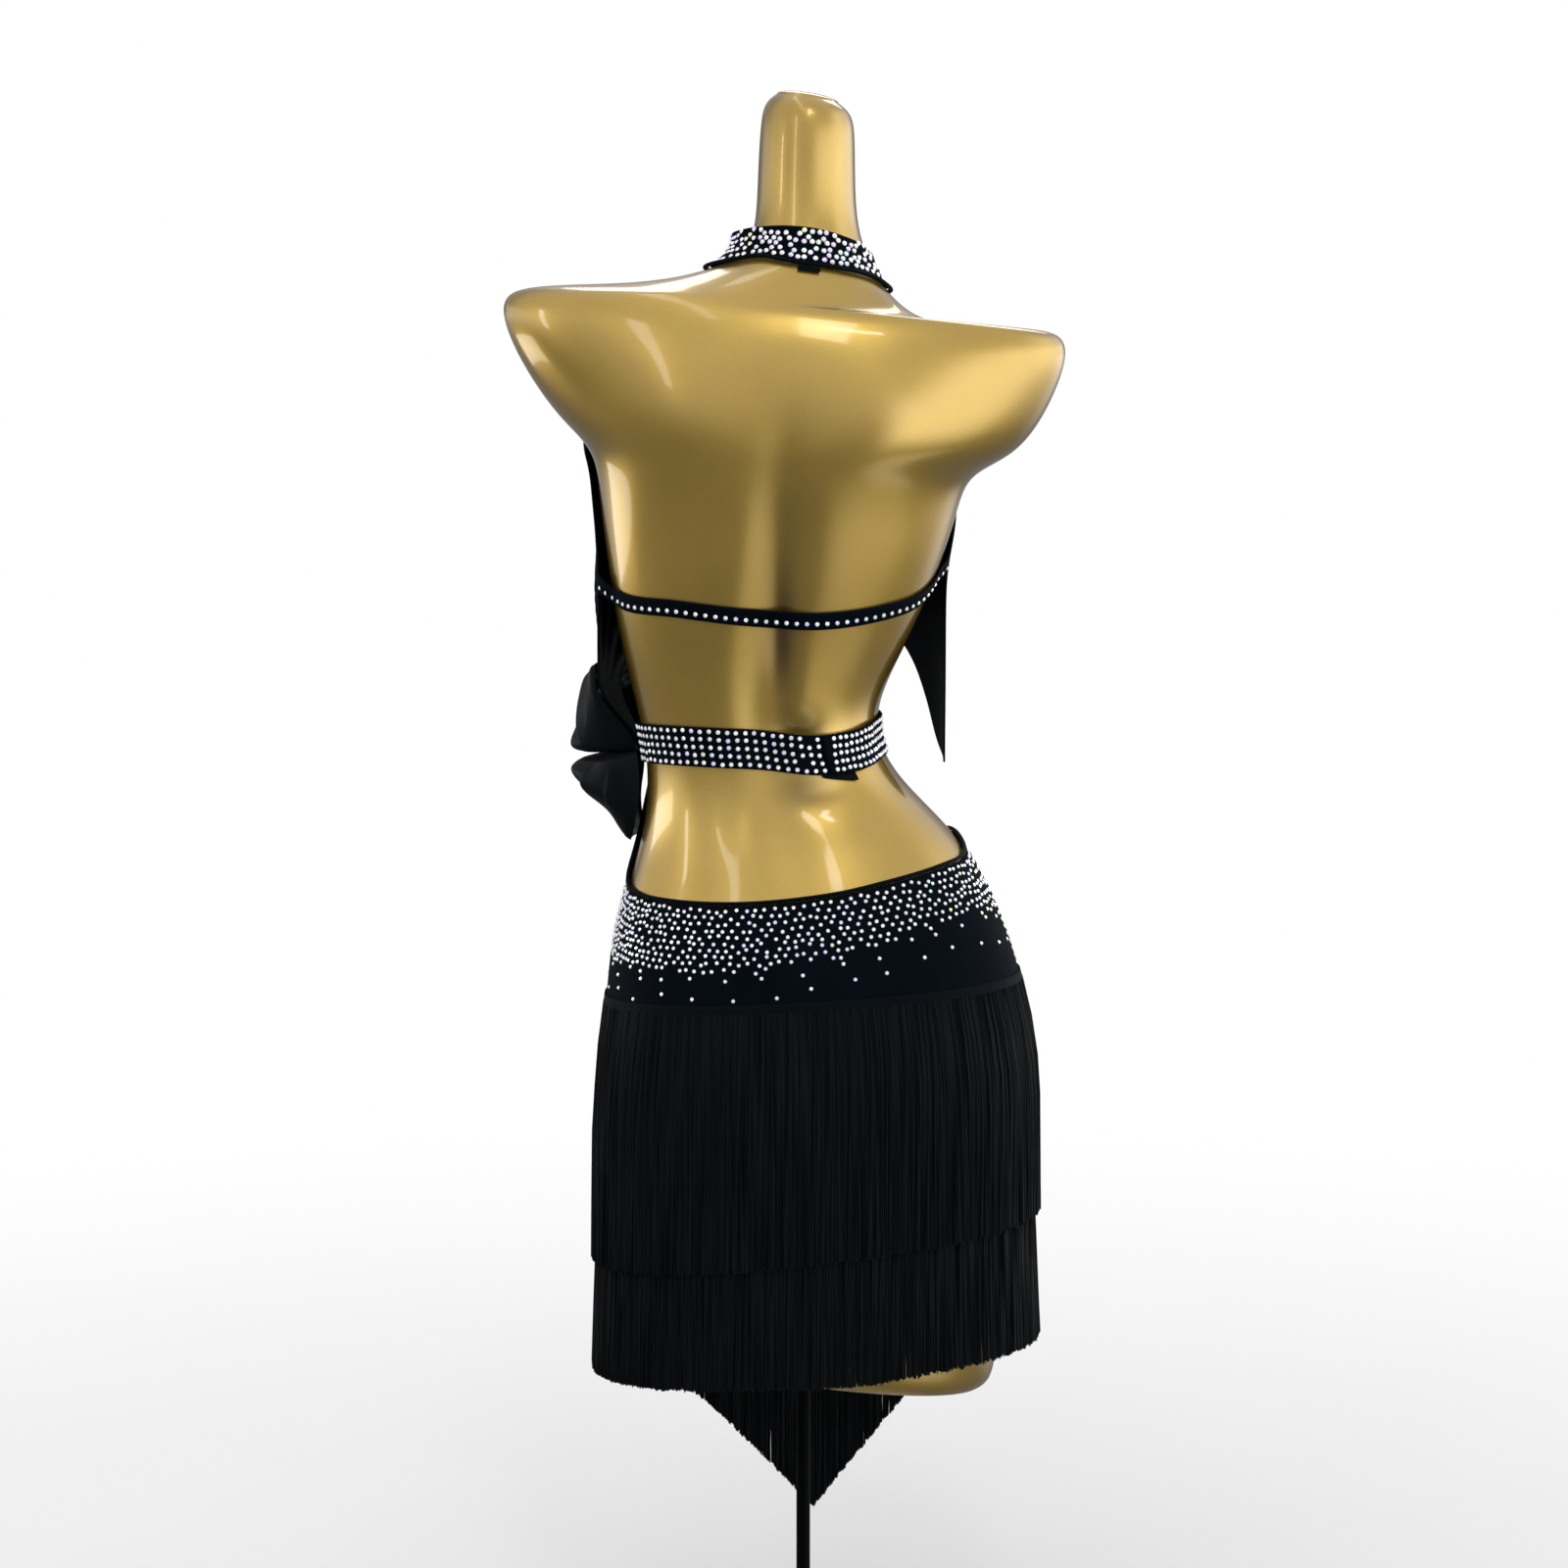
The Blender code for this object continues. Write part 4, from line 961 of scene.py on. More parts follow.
def make_form():
    """Rings of the form's sections, its foot flat and its neck's end rounded to a dome."""
    rings, count = FORM_GRID
    rows = np.linspace(0, len(FORM) - 1, rings)[:, None]
    points = form_point(ring_turns(count)[None, :], rows, bare=True)
    end = points[-1]
    centre = end.mean(axis=0)
    lift = np.radians(np.linspace(*NECK_RINGS))[:, None, None]
    dome = centre + (end - centre) * np.cos(lift) + np.array([0, 0, NECK_DOME]) * np.sin(lift)
    points = np.concatenate([points, dome])
    foot, top = points[0].mean(axis=0), centre + np.array([0, 0, NECK_DOME])
    c, d = np.arange(count), (np.arange(count) + 1) % count
    total = len(points) * count
    last = total - count
    faces = [cells(len(points), count, True), np.stack([d, c, np.full(count, total)], -1),
             np.stack([last + c, last + d, np.full(count, total + 1)], -1)]
    points = np.concatenate([points.reshape(-1, 3), [foot, top]])
    across, back, height = points.T
    # Painted shade down the spine's furrow and under the belt, as strong as each hollow's dark share, at
    # the back only.
    painted_shade = sum(dip.dark * bell(across - dip.across, dip.wide) * bell(height - LIFT - dip.height, dip.tall)
                 for dip in HOLLOWS) * (back > 0)
    marks = np.stack([painted_shade, painted_shade, painted_shade, 1 + 0 * painted_shade], -1)
    piece = new_piece("form_surface", points, faces, gold_lacquer(), sharp=60, marks=marks)
    stands_for(piece, "form_torso")


def lathe(name, profile, sides, made_of, shift=None):
    """Profile of (radius, height) rows from the foot up, carried round the Z axis; shift may bend it."""
    radius, height = np.array(profile, float).T[..., None]
    angle = ring_angles(sides)
    points = np.stack(np.broadcast_arrays(radius * np.cos(angle), radius * np.sin(angle), height), -1)
    if shift:
        points[..., 2] += shift(points)
    ring = np.arange(sides)[None, :]
    faces = [cells(len(profile), sides, True), ring[:, ::-1], (len(profile) - 1) * sides + ring]
    return new_piece(name, points.reshape(-1, 3), faces, made_of, sharp=40)


def rounded(radius, low, high, edge, steps=5):
    """Profile of a disc with rounded edges."""
    turn = np.radians(np.linspace(-90, 0, steps))
    foot = [(radius - edge + edge * math.cos(a), low + edge + edge * math.sin(a)) for a in turn]
    return foot + [(r, low + high - z) for r, z in reversed(foot)]


def seat_height(x):
    """Height over the floor of the stand's seat, along the form's slanted foot."""
    foot = FORM[0]
    return LIFT + foot.level + foot.tilt * (x - foot.middle) - GAP


def make_stand():
    """Clear round base, and a slim rod with a collar and a flange that lies along the form's underside."""
    disc = rounded(STAND_RADIUS, 0.0, STAND_THICKNESS, STAND_EDGE)
    stands_for(lathe("stand_base_clear", disc, 128, clear_acrylic()), "stand_base")
    foot, top = STAND_THICKNESS + GAP, seat_height(0)
    neck = top - 3 * FLANGE_THICKNESS
    share = np.linspace(0, 1, 9)
    flare = POLE_RADIUS + (FLANGE_RADIUS - POLE_RADIUS) * share**2
    profile = [(3 * POLE_RADIUS, foot), (3 * POLE_RADIUS, foot + FLANGE_THICKNESS)]
    profile += [(POLE_RADIUS * (3 - 2 * s), foot + FLANGE_THICKNESS * (1 + s * s)) for s in share[1:]]
    profile += list(zip(flare, neck + (top - FLANGE_THICKNESS - neck) * share))
    profile += [(FLANGE_RADIUS, top)]

    def slant(points):
        tilted = points[..., 2] > top - 2 * FLANGE_THICKNESS
        return np.where(tilted, seat_height(points[..., 0]) - top, 0)

    stands_for(lathe("stand_rod", profile, 48, black_lacquer(), slant), "stand_pole")


HALVES = {"back": (0.125, 179.875), "front": (180.125, 359.875)}  # first and last turn of each half

DENSE = {  # turn, depth of the dense rows of stones below the yoke's top edge
    "back": [(0, 0.056), (40, 0.050), (75, 0.047), (110, 0.039), (140, 0.034), (165, 0.044), (180, 0.056)],
    "front": [
        (180, 0.056), (195, 0.075), (215, 0.055), (240, 0.048), (270, 0.050), (310, 0.060), (335, 0.068),
        (360, 0.056),
    ],
}
YOKE_ROWS, YOKE_ROW = 18, 0.80  # count, and distance between rows as a share of the pitch
YOKE_FIRST, YOKE_LEAST = 0.0030, 0.0022  # depth of the first row, and the least depth of a stone
YOKE_STEP = 0.25  # degrees between the places at which the stones' spacing is added up
YOKE_WIDEST, YOKE_CLOSER = 1.25, 0.37  # spacing in pitches, and how much less it is at the closest
YOKE_CLOSE_TURN, YOKE_CLOSE_SPREAD = 10, 34
YOKE_SCATTER = (0.16, 0.13)  # shares of the pitch, along a row and down
YOKE_FADE = 0.0015  # unevenness of the dense rows' lower end
SPARSE_ROWS = ((0.006, 10.5, 4.0), (0.021, 11.0, 2.0))  # below the dense ones, degrees apart, first turn
SPARSE_SCATTER = (1.1, 0.0022)  # degrees along, metres down
HIP_LINES, HIP_STONES = 8, 32  # lines, and stones in the first of them
HIP_FIRST, HIP_APART, HIP_BOW = 168.5, 2.6, 6.0  # degrees
STONE_MARGIN = 0.006  # from the seam up to the lowest stones
ROW_MARGIN, SIDE_MARGIN = 1, 0.8  # degrees from each half's ends to the rows' stones, and to any


def yoke_layout(first, last, depths, pitch, seed):
    """Stones in staggered rows below the yoke's top edge, each moved a little, thinning out downwards.

    Rows lie closer than the stones in them, and the stones lie closer towards the wearer's left.
    """
    rng = np.random.default_rng(seed)
    turns, heights = [], []
    degree = math.radians(1) * HIP_RADIUS
    places = np.arange(first, last, YOKE_STEP)
    close = bell((places + 180) % 360 - 180 - YOKE_CLOSE_TURN, YOKE_CLOSE_SPREAD)
    along = np.cumsum(YOKE_STEP * degree / (pitch * (YOKE_WIDEST - YOKE_CLOSER * close)))
    for row in range(YOKE_ROWS):
        turn = np.interp(np.arange(row % 2 / 2, along[-1]), along, places)
        turn = turn + rng.normal(0, YOKE_SCATTER[0] * pitch / degree, len(turn))
        deep = YOKE_FIRST + row * pitch * YOKE_ROW + rng.normal(0, YOKE_SCATTER[1] * pitch, len(turn))
        kept = deep < curve(depths, turn) + rng.normal(0, YOKE_FADE, len(turn))
        kept &= (turn > first + ROW_MARGIN) & (turn < last - ROW_MARGIN)
        turns.append(turn[kept])
        heights.append(curve(YOKE_TOP, turn[kept], 360) - np.maximum(deep[kept], YOKE_LEAST))
    return np.concatenate(turns), np.concatenate(heights)


def sparse_rows(first, last, depths, seed):
    """Two loose rows of single stones under the dense ones."""
    rng = np.random.default_rng(seed)
    turns, heights = [], []
    for below, spacing, start in SPARSE_ROWS:
        turn = np.arange(first + start, last, spacing)
        turn = turn + rng.normal(0, SPARSE_SCATTER[0], len(turn))
        deep = curve(depths, turn) + below + rng.normal(0, SPARSE_SCATTER[1], len(turn))
        turns.append(turn)
        heights.append(curve(YOKE_TOP, turn, 360) - deep)
    return np.concatenate(turns), np.concatenate(heights)


def hip_lines():
    """Close lines of stones down the wearer's right side, bowed forwards as they near the fringe."""
    turns, heights = [], []
    for line in range(HIP_LINES):
        share = np.linspace(0, 1, HIP_STONES - line)
        turn = HIP_FIRST + line * HIP_APART + HIP_BOW * share**2
        top = curve(YOKE_TOP, turn, 360) - YOKE_FIRST
        turns.append(turn)
        heights.append(top + (seam_height(turn) + STONE_MARGIN - top) * share)
    return np.concatenate(turns), np.concatenate(heights)


def make_yoke():
    """Fitted hip yoke in two halves with its crystals, and the binding along its top edge."""
    sizes = bpy.context.scene.dress_sizes
    turns = ring_turns(160)
    middle = curve(YOKE_TOP, turns, 360) + 2 * GAP + BINDING_HEIGHT / 2
    binding("yoke_edge", fitted, turns, middle, BINDING_HEIGHT, "yoke_binding")
    for index, (side, (first, last)) in enumerate(HALVES.items()):
        turns = np.linspace(first, last, 130)
        low, high = seam_height(turns) + GAP / 2, curve(YOKE_TOP, turns, 360)
        piece, outer = band(f"yoke_cloth_{side}", turns, low, high, 24, EASE, CLOTH, jersey())
        stands_for(piece, f"yoke_{side}")
        depths = DENSE[side]
        layouts = [hip_lines(), yoke_layout(first, last, depths, sizes.yoke_pitch, 11 + index),
                   sparse_rows(first, last, depths, 21 + index)]
        turn, height = (np.concatenate(part) for part in zip(*layouts))
        flat = np.stack([np.radians(turn) * HIP_RADIUS, height], -1)
        kept = spaced(flat, STONE_ROOM["yoke"] * sizes.yoke_stone)
        kept &= height > seam_height(turn) + STONE_MARGIN
        kept &= (turn > first + SIDE_MARGIN) & (turn < last - SIDE_MARGIN)
        seat = seats(fitted, turn[kept], height[kept], EASE + CLOTH)
        set_stones(f"yoke_stones_{side}", seat, sizes.yoke_stone, 31 + index)
        sheet(outer)


def make_underskirt():
    """Plain short skirt under the fringe, in two halves."""
    for side, (first, last) in HALVES.items():
        turns = np.linspace(first, last, 110)
        low, high = SKIRT_FOOT + 0 * turns, seam_height(turns) - GAP / 2
        piece, outer = band(f"underskirt_cloth_{side}", turns, low, high, 50, EASE, CLOTH, jersey(),
                            hanging)
        stands_for(piece, f"underskirt_{side}")
        sheet(outer)


LOCK_THREADS = 7  # threads that lean and end together
LOCK_LEAN, LOCK_END = 0.00012, 0.35  # how locks differ: in metres at the hem, and in their ends
ENDS_SHARE, ENDS_DROP = 0.5, 0.35  # shares of the hem's unevenness
THREAD_START, THREAD_INSET = 0.7, 0.4  # where threads start: shares of a strip's height and thickness
THREAD_LEAN, THREAD_SPREAD = 0.0002, 0.0005  # metres at the hem, sideways and outwards
THREAD_SWAY, SWAY_WAVES = 0.0003, 1.7
THREAD_TWIST, THREAD_TAPER = 2.0, 0.15  # radians from top to hem, share of the width
THREAD_MARGIN, THREAD_SCATTER = 0.4, 0.12  # in pitches, from a half's ends and along
UPPER_LAYERS, LOWER_LAYERS = 3, 5  # the lower tier has one more in front
LAYER_STEP, LAYER_FIRST = 0.55, 0.7  # in thread widths, between layers and how far in the first lies
THINNEST, THIN_TURN, THIN_SPREAD = 0.12, 135, 30  # share left out of the lower tier behind, and where
HEM_DIP, HEM_DIP_ACROSS, HEM_DIP_SPREAD = 0.0035, -0.035, 0.05  # dip of its hem behind


def fringe_threads(name, turns, top, hem, off, flare, seed):
    """Threads that fall from a strip: three-sided rods about lines that hang, lean and end unevenly.

    Each line goes from its top to its hem in equal shares. It is moved sideways by its own and its
    lock's lean times the share to the 1.5 and by a small sway, and outwards by the flare.
    """
    sizes = bpy.context.scene.dress_sizes
    rng = np.random.default_rng(seed)
    count = len(turns)
    share = np.linspace(0, 1, THREAD_STATIONS)[None, :]
    lock = np.arange(count) // LOCK_THREADS
    locks = lock[-1] + 1
    lock_lean, lock_end = rng.normal(0, LOCK_LEAN, locks)[lock], rng.normal(0, LOCK_END, locks)[lock]
    lean = (rng.normal(0, THREAD_LEAN, count) + lock_lean)[:, None] * share**1.5
    sway = THREAD_SWAY * np.sin(math.tau * (SWAY_WAVES * share + rng.random(count)[:, None]))
    hem = hem + sizes.hem_unevenness * (ENDS_SHARE * rng.random(count) - ENDS_DROP + lock_end * ENDS_SHARE)
    height = top[:, None] + (hem - top)[:, None] * share
    shares, outs = np.array(flare).T
    spread = rng.normal(0, THREAD_SPREAD, count)[:, None] * share
    out = off[:, None] + np.interp(share, shares, outs) + spread
    turn = turns[:, None] + np.degrees((lean + sway * share) / HIP_RADIUS)
    line = hanging(turn, height, out)
    outwards = unit(hanging(turn, height, out + PROBE) - line)
    sideways = unit(np.cross(np.array([0.0, 0.0, 1.0]), outwards))
    spin = rng.random(count)[:, None, None] * math.tau + share[..., None] * THREAD_TWIST
    angle = (spin + ring_angles(3))[..., None]
    radius = sizes.thread_width / 2 * (1 - THREAD_TAPER * share[..., None, None] ** 4)
    ring = np.cos(angle) * sideways[:, :, None, :] + np.sin(angle) * outwards[:, :, None, :]
    points = line[:, :, None, :] + radius * ring
    per_thread = THREAD_STATIONS * 3
    first = (np.arange(count) * per_thread)[:, None, None]
    walls = first + cells(THREAD_STATIONS, 3, True)[:, ::-1]
    ends = first + np.array([[0, 1, 2], [per_thread - 1, per_thread - 2, per_thread - 3]])
    darkness = np.repeat(rng.random(count), per_thread)[:, None]
    marks = np.concatenate([np.repeat(darkness, 3, axis=1), np.ones_like(darkness)], axis=1)
    faces = [walls.reshape(-1, 4), ends.reshape(-1, 3)]
    piece = new_piece(name, points.reshape(-1, 3), faces, thread(), sharp=75, marks=marks)
    return piece


def thread_turns(first, last, layers, thin, seed):
    """Turns of the threads and how far out each lies: layers staggered by a share of the pitch.

    Thin is the share of the threads that is left out at THIN_TURN, less and less to both sides.
    """
    sizes = bpy.context.scene.dress_sizes
    rng = np.random.default_rng(seed)
    pitch = math.degrees(sizes.thread_pitch / HIP_RADIUS)
    turns, outs = [], []
    for layer in range(layers):
        start = first + pitch * (THREAD_MARGIN + layer / layers)
        turn = np.arange(start, last - THREAD_MARGIN * pitch, pitch)
        turn = turn + rng.normal(0, THREAD_SCATTER * pitch, len(turn))
        turn = turn[rng.random(len(turn)) < 1 - thin * bell(turn - THIN_TURN, THIN_SPREAD)]
        turns.append(turn)
        outs.append(np.full(len(turn), (LAYER_STEP * layer - LAYER_FIRST) * sizes.thread_width))
    turns, outs = np.concatenate(turns), np.concatenate(outs)
    order = np.argsort(turns)
    return turns[order], outs[order]


def lower_hem(across, side):
    """Hem of the lower tier: a slanted line, with a dip behind and two slopes to a point in front."""
    hem = LOWER_HEM + LOWER_HEM_TILT * across
    if side == "back":
        return hem - HEM_DIP * bell(across - HEM_DIP_ACROSS, HEM_DIP_SPREAD)
    past = across - POINT_ACROSS
    rise = np.where(past > 0, POINT_SLOPES[0] * past, -POINT_SLOPES[1] * past)
    return np.minimum(hem, POINT_HEIGHT + rise)


def make_fringe():
    """Two tiers of chainette fringe on braid; the lower tier falls to a point in front."""
    strip_off = EASE + CLOTH + 2 * GAP
    for index, (side, (first, last)) in enumerate(HALVES.items()):
        turns = np.linspace(first, last, 130)
        for tier in ("upper", "lower"):
            upper = tier == "upper"

            def tape_top(turn):
                return seam_height(turn) + UPPER_STRIP_RISE if upper else LOWER_STRIP + 0 * turn

            high = tape_top(turns)
            tape, outer = band(f"fringe_tape_{tier}_{side}", turns, high - TAPE_HEIGHT, high, 6, strip_off,
                               STRIP_THICKNESS, braid(), hanging)
            thin = 0 if upper or side == "front" else THINNEST
            layers = UPPER_LAYERS if upper else LOWER_LAYERS + index
            turn, extra = thread_turns(first, last, layers, thin, 41 + index)
            level = SEAM_HEIGHT if upper else LOWER_STRIP
            across = hanging(turn, level + 0 * turn, 0 * turn)[:, 0]
            hem = UPPER_HEM + UPPER_HEM_TILT * across if upper else lower_hem(across, side)
            start = tape_top(turn) - STRIP_HEIGHT * THREAD_START
            off = strip_off + STRIP_THICKNESS * THREAD_INSET + extra
            piece = fringe_threads(f"fringe_threads_{tier}_{side}", turn, start, hem, off,
                                   UPPER_FLARE if upper else LOWER_FLARE, 51 + 2 * index + upper)
            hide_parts(f"fringe_{tier}_{side}")
            sheet(outer)


def lengths_along(line):
    """Length along a line of points, from its start to each point."""
    return np.pad(np.cumsum(np.linalg.norm(np.diff(line, axis=0), axis=-1)), (1, 0))


LAP_STONES = 205.0  # turn up to which the lapping end's stones lie closer
LAP_CLOSER, LAP_SLANT = 0.74, 0.0010  # share of the pitch, how far each row starts past the one below
BELT_ROW = 0.0062  # distance between rows of stones on the belt
BELT_MARGIN = 0.0075  # from the strip's first end to the stones
BELT_SCATTER = (0.00025, 0.0003)  # along, across
BELT_BARE = (1.6, 1.0)  # degrees without stones past the strip's first end, and before it a turn later
WORN_TURN, WORN_SPAN, WORN_SHARE = 462, 10, 0.25  # degrees past which stones are missing, share of them


def make_belt():
    """Waist belt: one strip whose end laps over itself at the back, five rows of stones, a hook tape."""
    sizes = bpy.context.scene.dress_sizes
    first, last = BELT_ENDS
    turns = np.linspace(first, last, 260)
    middle = curve(BELT_MIDDLE, turns % 360, 360)
    piece, outer = band("belt_cloth", turns, middle - BELT_HEIGHT / 2, middle + BELT_HEIGHT / 2, 12, 0.0,
                        BELT_THICKNESS, jersey(), belted)
    stands_for(piece, "belt")
    rng = np.random.default_rng(61)
    rows = []
    lengths = lengths_along(belted(turns, middle, BELT_THICKNESS))
    lap = np.interp(LAP_STONES, turns, lengths)
    places = np.concatenate([np.arange(BELT_MARGIN, lap, LAP_CLOSER * sizes.belt_pitch),
                             np.arange(lap, lengths[-1], sizes.belt_pitch)])
    for row in range(-2, 3):
        at = places + rng.normal(0, BELT_SCATTER[0], len(places)) + LAP_SLANT * row * (places < lap)
        turn = np.interp(at, lengths, turns)
        across = row * BELT_ROW + rng.normal(0, BELT_SCATTER[1], len(turn))
        kept = rng.random(len(turn)) > WORN_SHARE * step((turn - WORN_TURN) / WORN_SPAN)
        kept &= (turn > first + BELT_BARE[0]) & (turn < 360 + first - BELT_BARE[1])
        rows.append(np.stack([turn[kept], across[kept]]))
    turn, across = np.concatenate(rows, axis=1)
    height = curve(BELT_MIDDLE, turn % 360, 360) + across
    gems = set_stones("belt_stones", seats(belted, turn, height, BELT_THICKNESS), sizes.belt_stone, 62)
    first, last, height = TONGUE
    turns = np.linspace(first, last, 24)
    top = curve(BELT_MIDDLE, turns, 360) - BELT_HEIGHT / 2 - 2 * GAP
    low = top - height * (TONGUE_TIP + (1 - TONGUE_TIP) * (turns - first) / (last - first))
    tape, _ = band("belt_hook_tape", turns, low, top, 6, EASE, CLOTH, braid())
    stands_for(tape, "belt_tongue")
    sheet(outer)


def strap_point(turn, height, off):
    """Back strap: fitted cloth whose ends rise to the halter's side edges."""
    first, last = STRAP_LINE[0][0], STRAP_LINE[-1][0]
    end = (1 - step(np.minimum(turn - first, last - turn) / STRAP_FLARE_TURNS))[..., None]
    point = fitted(turn, height, EASE + off)
    return point + (bodice_point(turn + 360 * (turn < 90), height, off + 0 * height) - point) * end


def make_strap():
    """Narrow strap across the open back, with one row of stones along its lower edge."""
    sizes = bpy.context.scene.dress_sizes
    turns = np.linspace(STRAP_LINE[0][0], STRAP_LINE[-1][0], 160)
    middle = curve(STRAP_LINE, turns)
    piece, outer = band("strap_cloth", turns, middle - STRAP_WIDTH / 2, middle + STRAP_WIDTH / 2, 8, 0.0,
                        CLOTH, jersey(), strap_point)
    stands_for(piece, "strap_back")
    lengths = lengths_along(outer[0])
    start, end = STRAP_MARGINS
    turn = np.interp(np.arange(start, lengths[-1] - end, sizes.strap_pitch), lengths, turns)
    seat = seats(strap_point, turn, curve(STRAP_LINE, turn) - STRAP_WIDTH * STRAP_STONE_DROP, CLOTH)
    gems = set_stones("strap_stones", seat, sizes.strap_stone, 71)
    sheet(outer)


COLLAR_RADIUS = 0.050  # mean, for lengths round the collar
COLLAR_FIRST, COLLAR_ROW = 0.07, 0.172  # shares of the height: first row of stones, and between rows
COLLAR_SCATTER = (0.14, 0.022)  # share of the pitch along, share of the height up
COLLAR_STONES = (0.05, 0.95)  # shares of the height between which the stones stay


def collar_place(turn, share):
    """Level and distance from the form of the collar's inner side, at a share of its height."""
    low, high = curve(COLLAR_FOOT, turn, 360), curve(COLLAR_TOP, turn, 360)
    return low + (high - low) * share, EASE + curve(COLLAR_LEAN, turn, 360) * share


def make_collar():
    """Halter collar that leans on the neck, set with stones, its bound foot and its closure tab."""
    sizes = bpy.context.scene.dress_sizes
    turns = ring_turns(120)
    share = np.linspace(0, 1, 14)[:, None]
    turn = np.broadcast_to(turns, (14, len(turns)))
    level, lean = collar_place(turns, share)
    outer = leaning(turn, level, lean + COLLAR_CLOTH)
    piece = shell("collar_cloth", leaning(turn, level, lean), outer, jersey(), closed=True)
    stands_for(piece, "collar")
    middle = curve(COLLAR_FOOT, turns, 360) - 2 * GAP - COLLAR_BINDING / 2
    edge = binding("collar_edge", leaning, turns, middle, COLLAR_BINDING, "collar_binding")
    first, last, height = COLLAR_TAB
    turns = np.linspace(first, last, 16)
    top = curve(COLLAR_FOOT, turns, 360) - 3 * GAP - COLLAR_BINDING
    tab, _ = band("collar_closure_tab", turns, top - height, top, 6, EASE, CLOTH, braid(), leaning)
    stands_for(tab, "collar_tab")
    rng = np.random.default_rng(81)
    rows = []
    pitch = math.degrees(sizes.collar_pitch / COLLAR_RADIUS)
    for row in range(6):
        turn = np.arange(0, 360 - pitch / 2, pitch) + row % 2 * pitch / 2
        turn = turn + rng.normal(0, COLLAR_SCATTER[0] * pitch, len(turn))
        share = COLLAR_FIRST + row * COLLAR_ROW + rng.normal(0, COLLAR_SCATTER[1], len(turn))
        rows.append(np.stack([turn, share]))
    turn, share = np.concatenate(rows, axis=1)
    level, lean = collar_place(turn, np.clip(share, *COLLAR_STONES))
    off = lean + COLLAR_CLOTH
    kept = spaced(leaning(turn, level, off), STONE_ROOM["collar"] * sizes.collar_stone)
    seat = seats(leaning, turn[kept], level[kept], off[kept], ahead=0.4)
    gems = set_stones("collar_stones", seat, sizes.collar_stone, 82)
    sheet(outer)


def from_knot(turn, level):
    """Angle up from level and distance, in degrees and metres, as seen from the knot."""
    knot_turn, knot_level = FOLD_FROM
    around = np.radians(knot_turn - turn) * FOLD_RADIUS
    up = level - knot_level
    return np.degrees(np.arctan2(up, np.maximum(around, 1e-4))), np.hypot(around, up)


def bodice_folds(turn, level):
    """Ridges that fan out from the knot: a cosine over the angle, which swells and fades with distance.

    Fine creases are added to them, each a bell over the angle along its own stretch.
    """
    angle, reach = from_knot(turn, level)
    share = (angle - FOLD_FIRST) / (FOLD_LAST - FOLD_FIRST)
    wave = 0.5 - 0.5 * np.cos(math.tau * FOLD_COUNT * np.clip(share, 0, 1))
    swell = step((reach - FOLD_REACH[0]) / (FOLD_REACH[1] - FOLD_REACH[0]))
    fade = 1 - step((reach - FOLD_REACH[1]) / (FOLD_REACH[2] - FOLD_REACH[1]))
    depth = FOLD_DEPTH * wave * swell * fade
    for crease in CREASES:
        along = (reach - crease.first) / (crease.last - crease.first)
        body = np.sin(math.pi * np.clip(along, 0, 1)) ** 2
        depth = depth + crease.depth / 1000 * body * bell(angle - crease.angle, crease.width)
    return depth


def bodice_point(turn, level, off):
    """Cloth over the bust, which hangs straight from the bust's fullest line to the knot."""
    hang = curve(BODICE_HANG, turn)
    eased = hang + HANG_SOFTNESS * np.logaddexp(0, (level - hang) / HANG_SOFTNESS)
    side = step((turn - SIDE_EASE_TURN) / SIDE_EASE_SPANS[0])
    side = side * step((SIDE_EASE_TOP - level) / SIDE_EASE_SPANS[1])
    out = off + BODICE_EASE + BODICE_SIDE_EASE * side + bodice_folds(turn, level)
    point = off_form(turn, np.interp(eased, LEVELS, ROWS), out, bridged=True)
    point[..., 2] += level - eased
    low, high = GATHER_LEVELS
    first, last = GATHER_TURNS
    drawn = step((high - level) / (high - low)) * step((turn - first) / (last - first))
    over_belt = off_form(turn, np.interp(level, LEVELS, ROWS), EASE + BELT_THICKNESS + 2 * GAP + off)
    return point + (over_belt - point) * drawn[..., None]


def make_halter():
    """Halter front: one piece between its side edges, with turned hems, folds and a hanging corner."""
    rows, columns = BODICE_GRID
    share = np.linspace(0, 1, columns)[None, :]
    rise = np.linspace(0, 1, rows)[:, None]
    hem = curve(BODICE_HEM, share)
    level = hem + (BODICE_TOP - hem) * rise
    right, left = curve(BODICE_RIGHT, level[:, :1]), curve(BODICE_LEFT, level[:, -1:])
    turn = right + (left - right) * share
    inner = bodice_point(turn, level, 0 * level)
    lengths = cut_lengths(inner)
    to_side = np.minimum(lengths[..., 0], lengths[:, -1:, 0] - lengths[..., 0])
    to_edge = np.minimum(to_side, lengths[..., 1])
    hemmed = HEM_RISE * (1 - step((to_edge - HEM_WIDTH) / HEM_SLOPE))
    outer = bodice_point(turn, level, CLOTH + hemmed)
    piece = shell("halter_cloth", inner, outer, jersey())
    stands_for(piece, "bodice_front")
    sheet(outer)


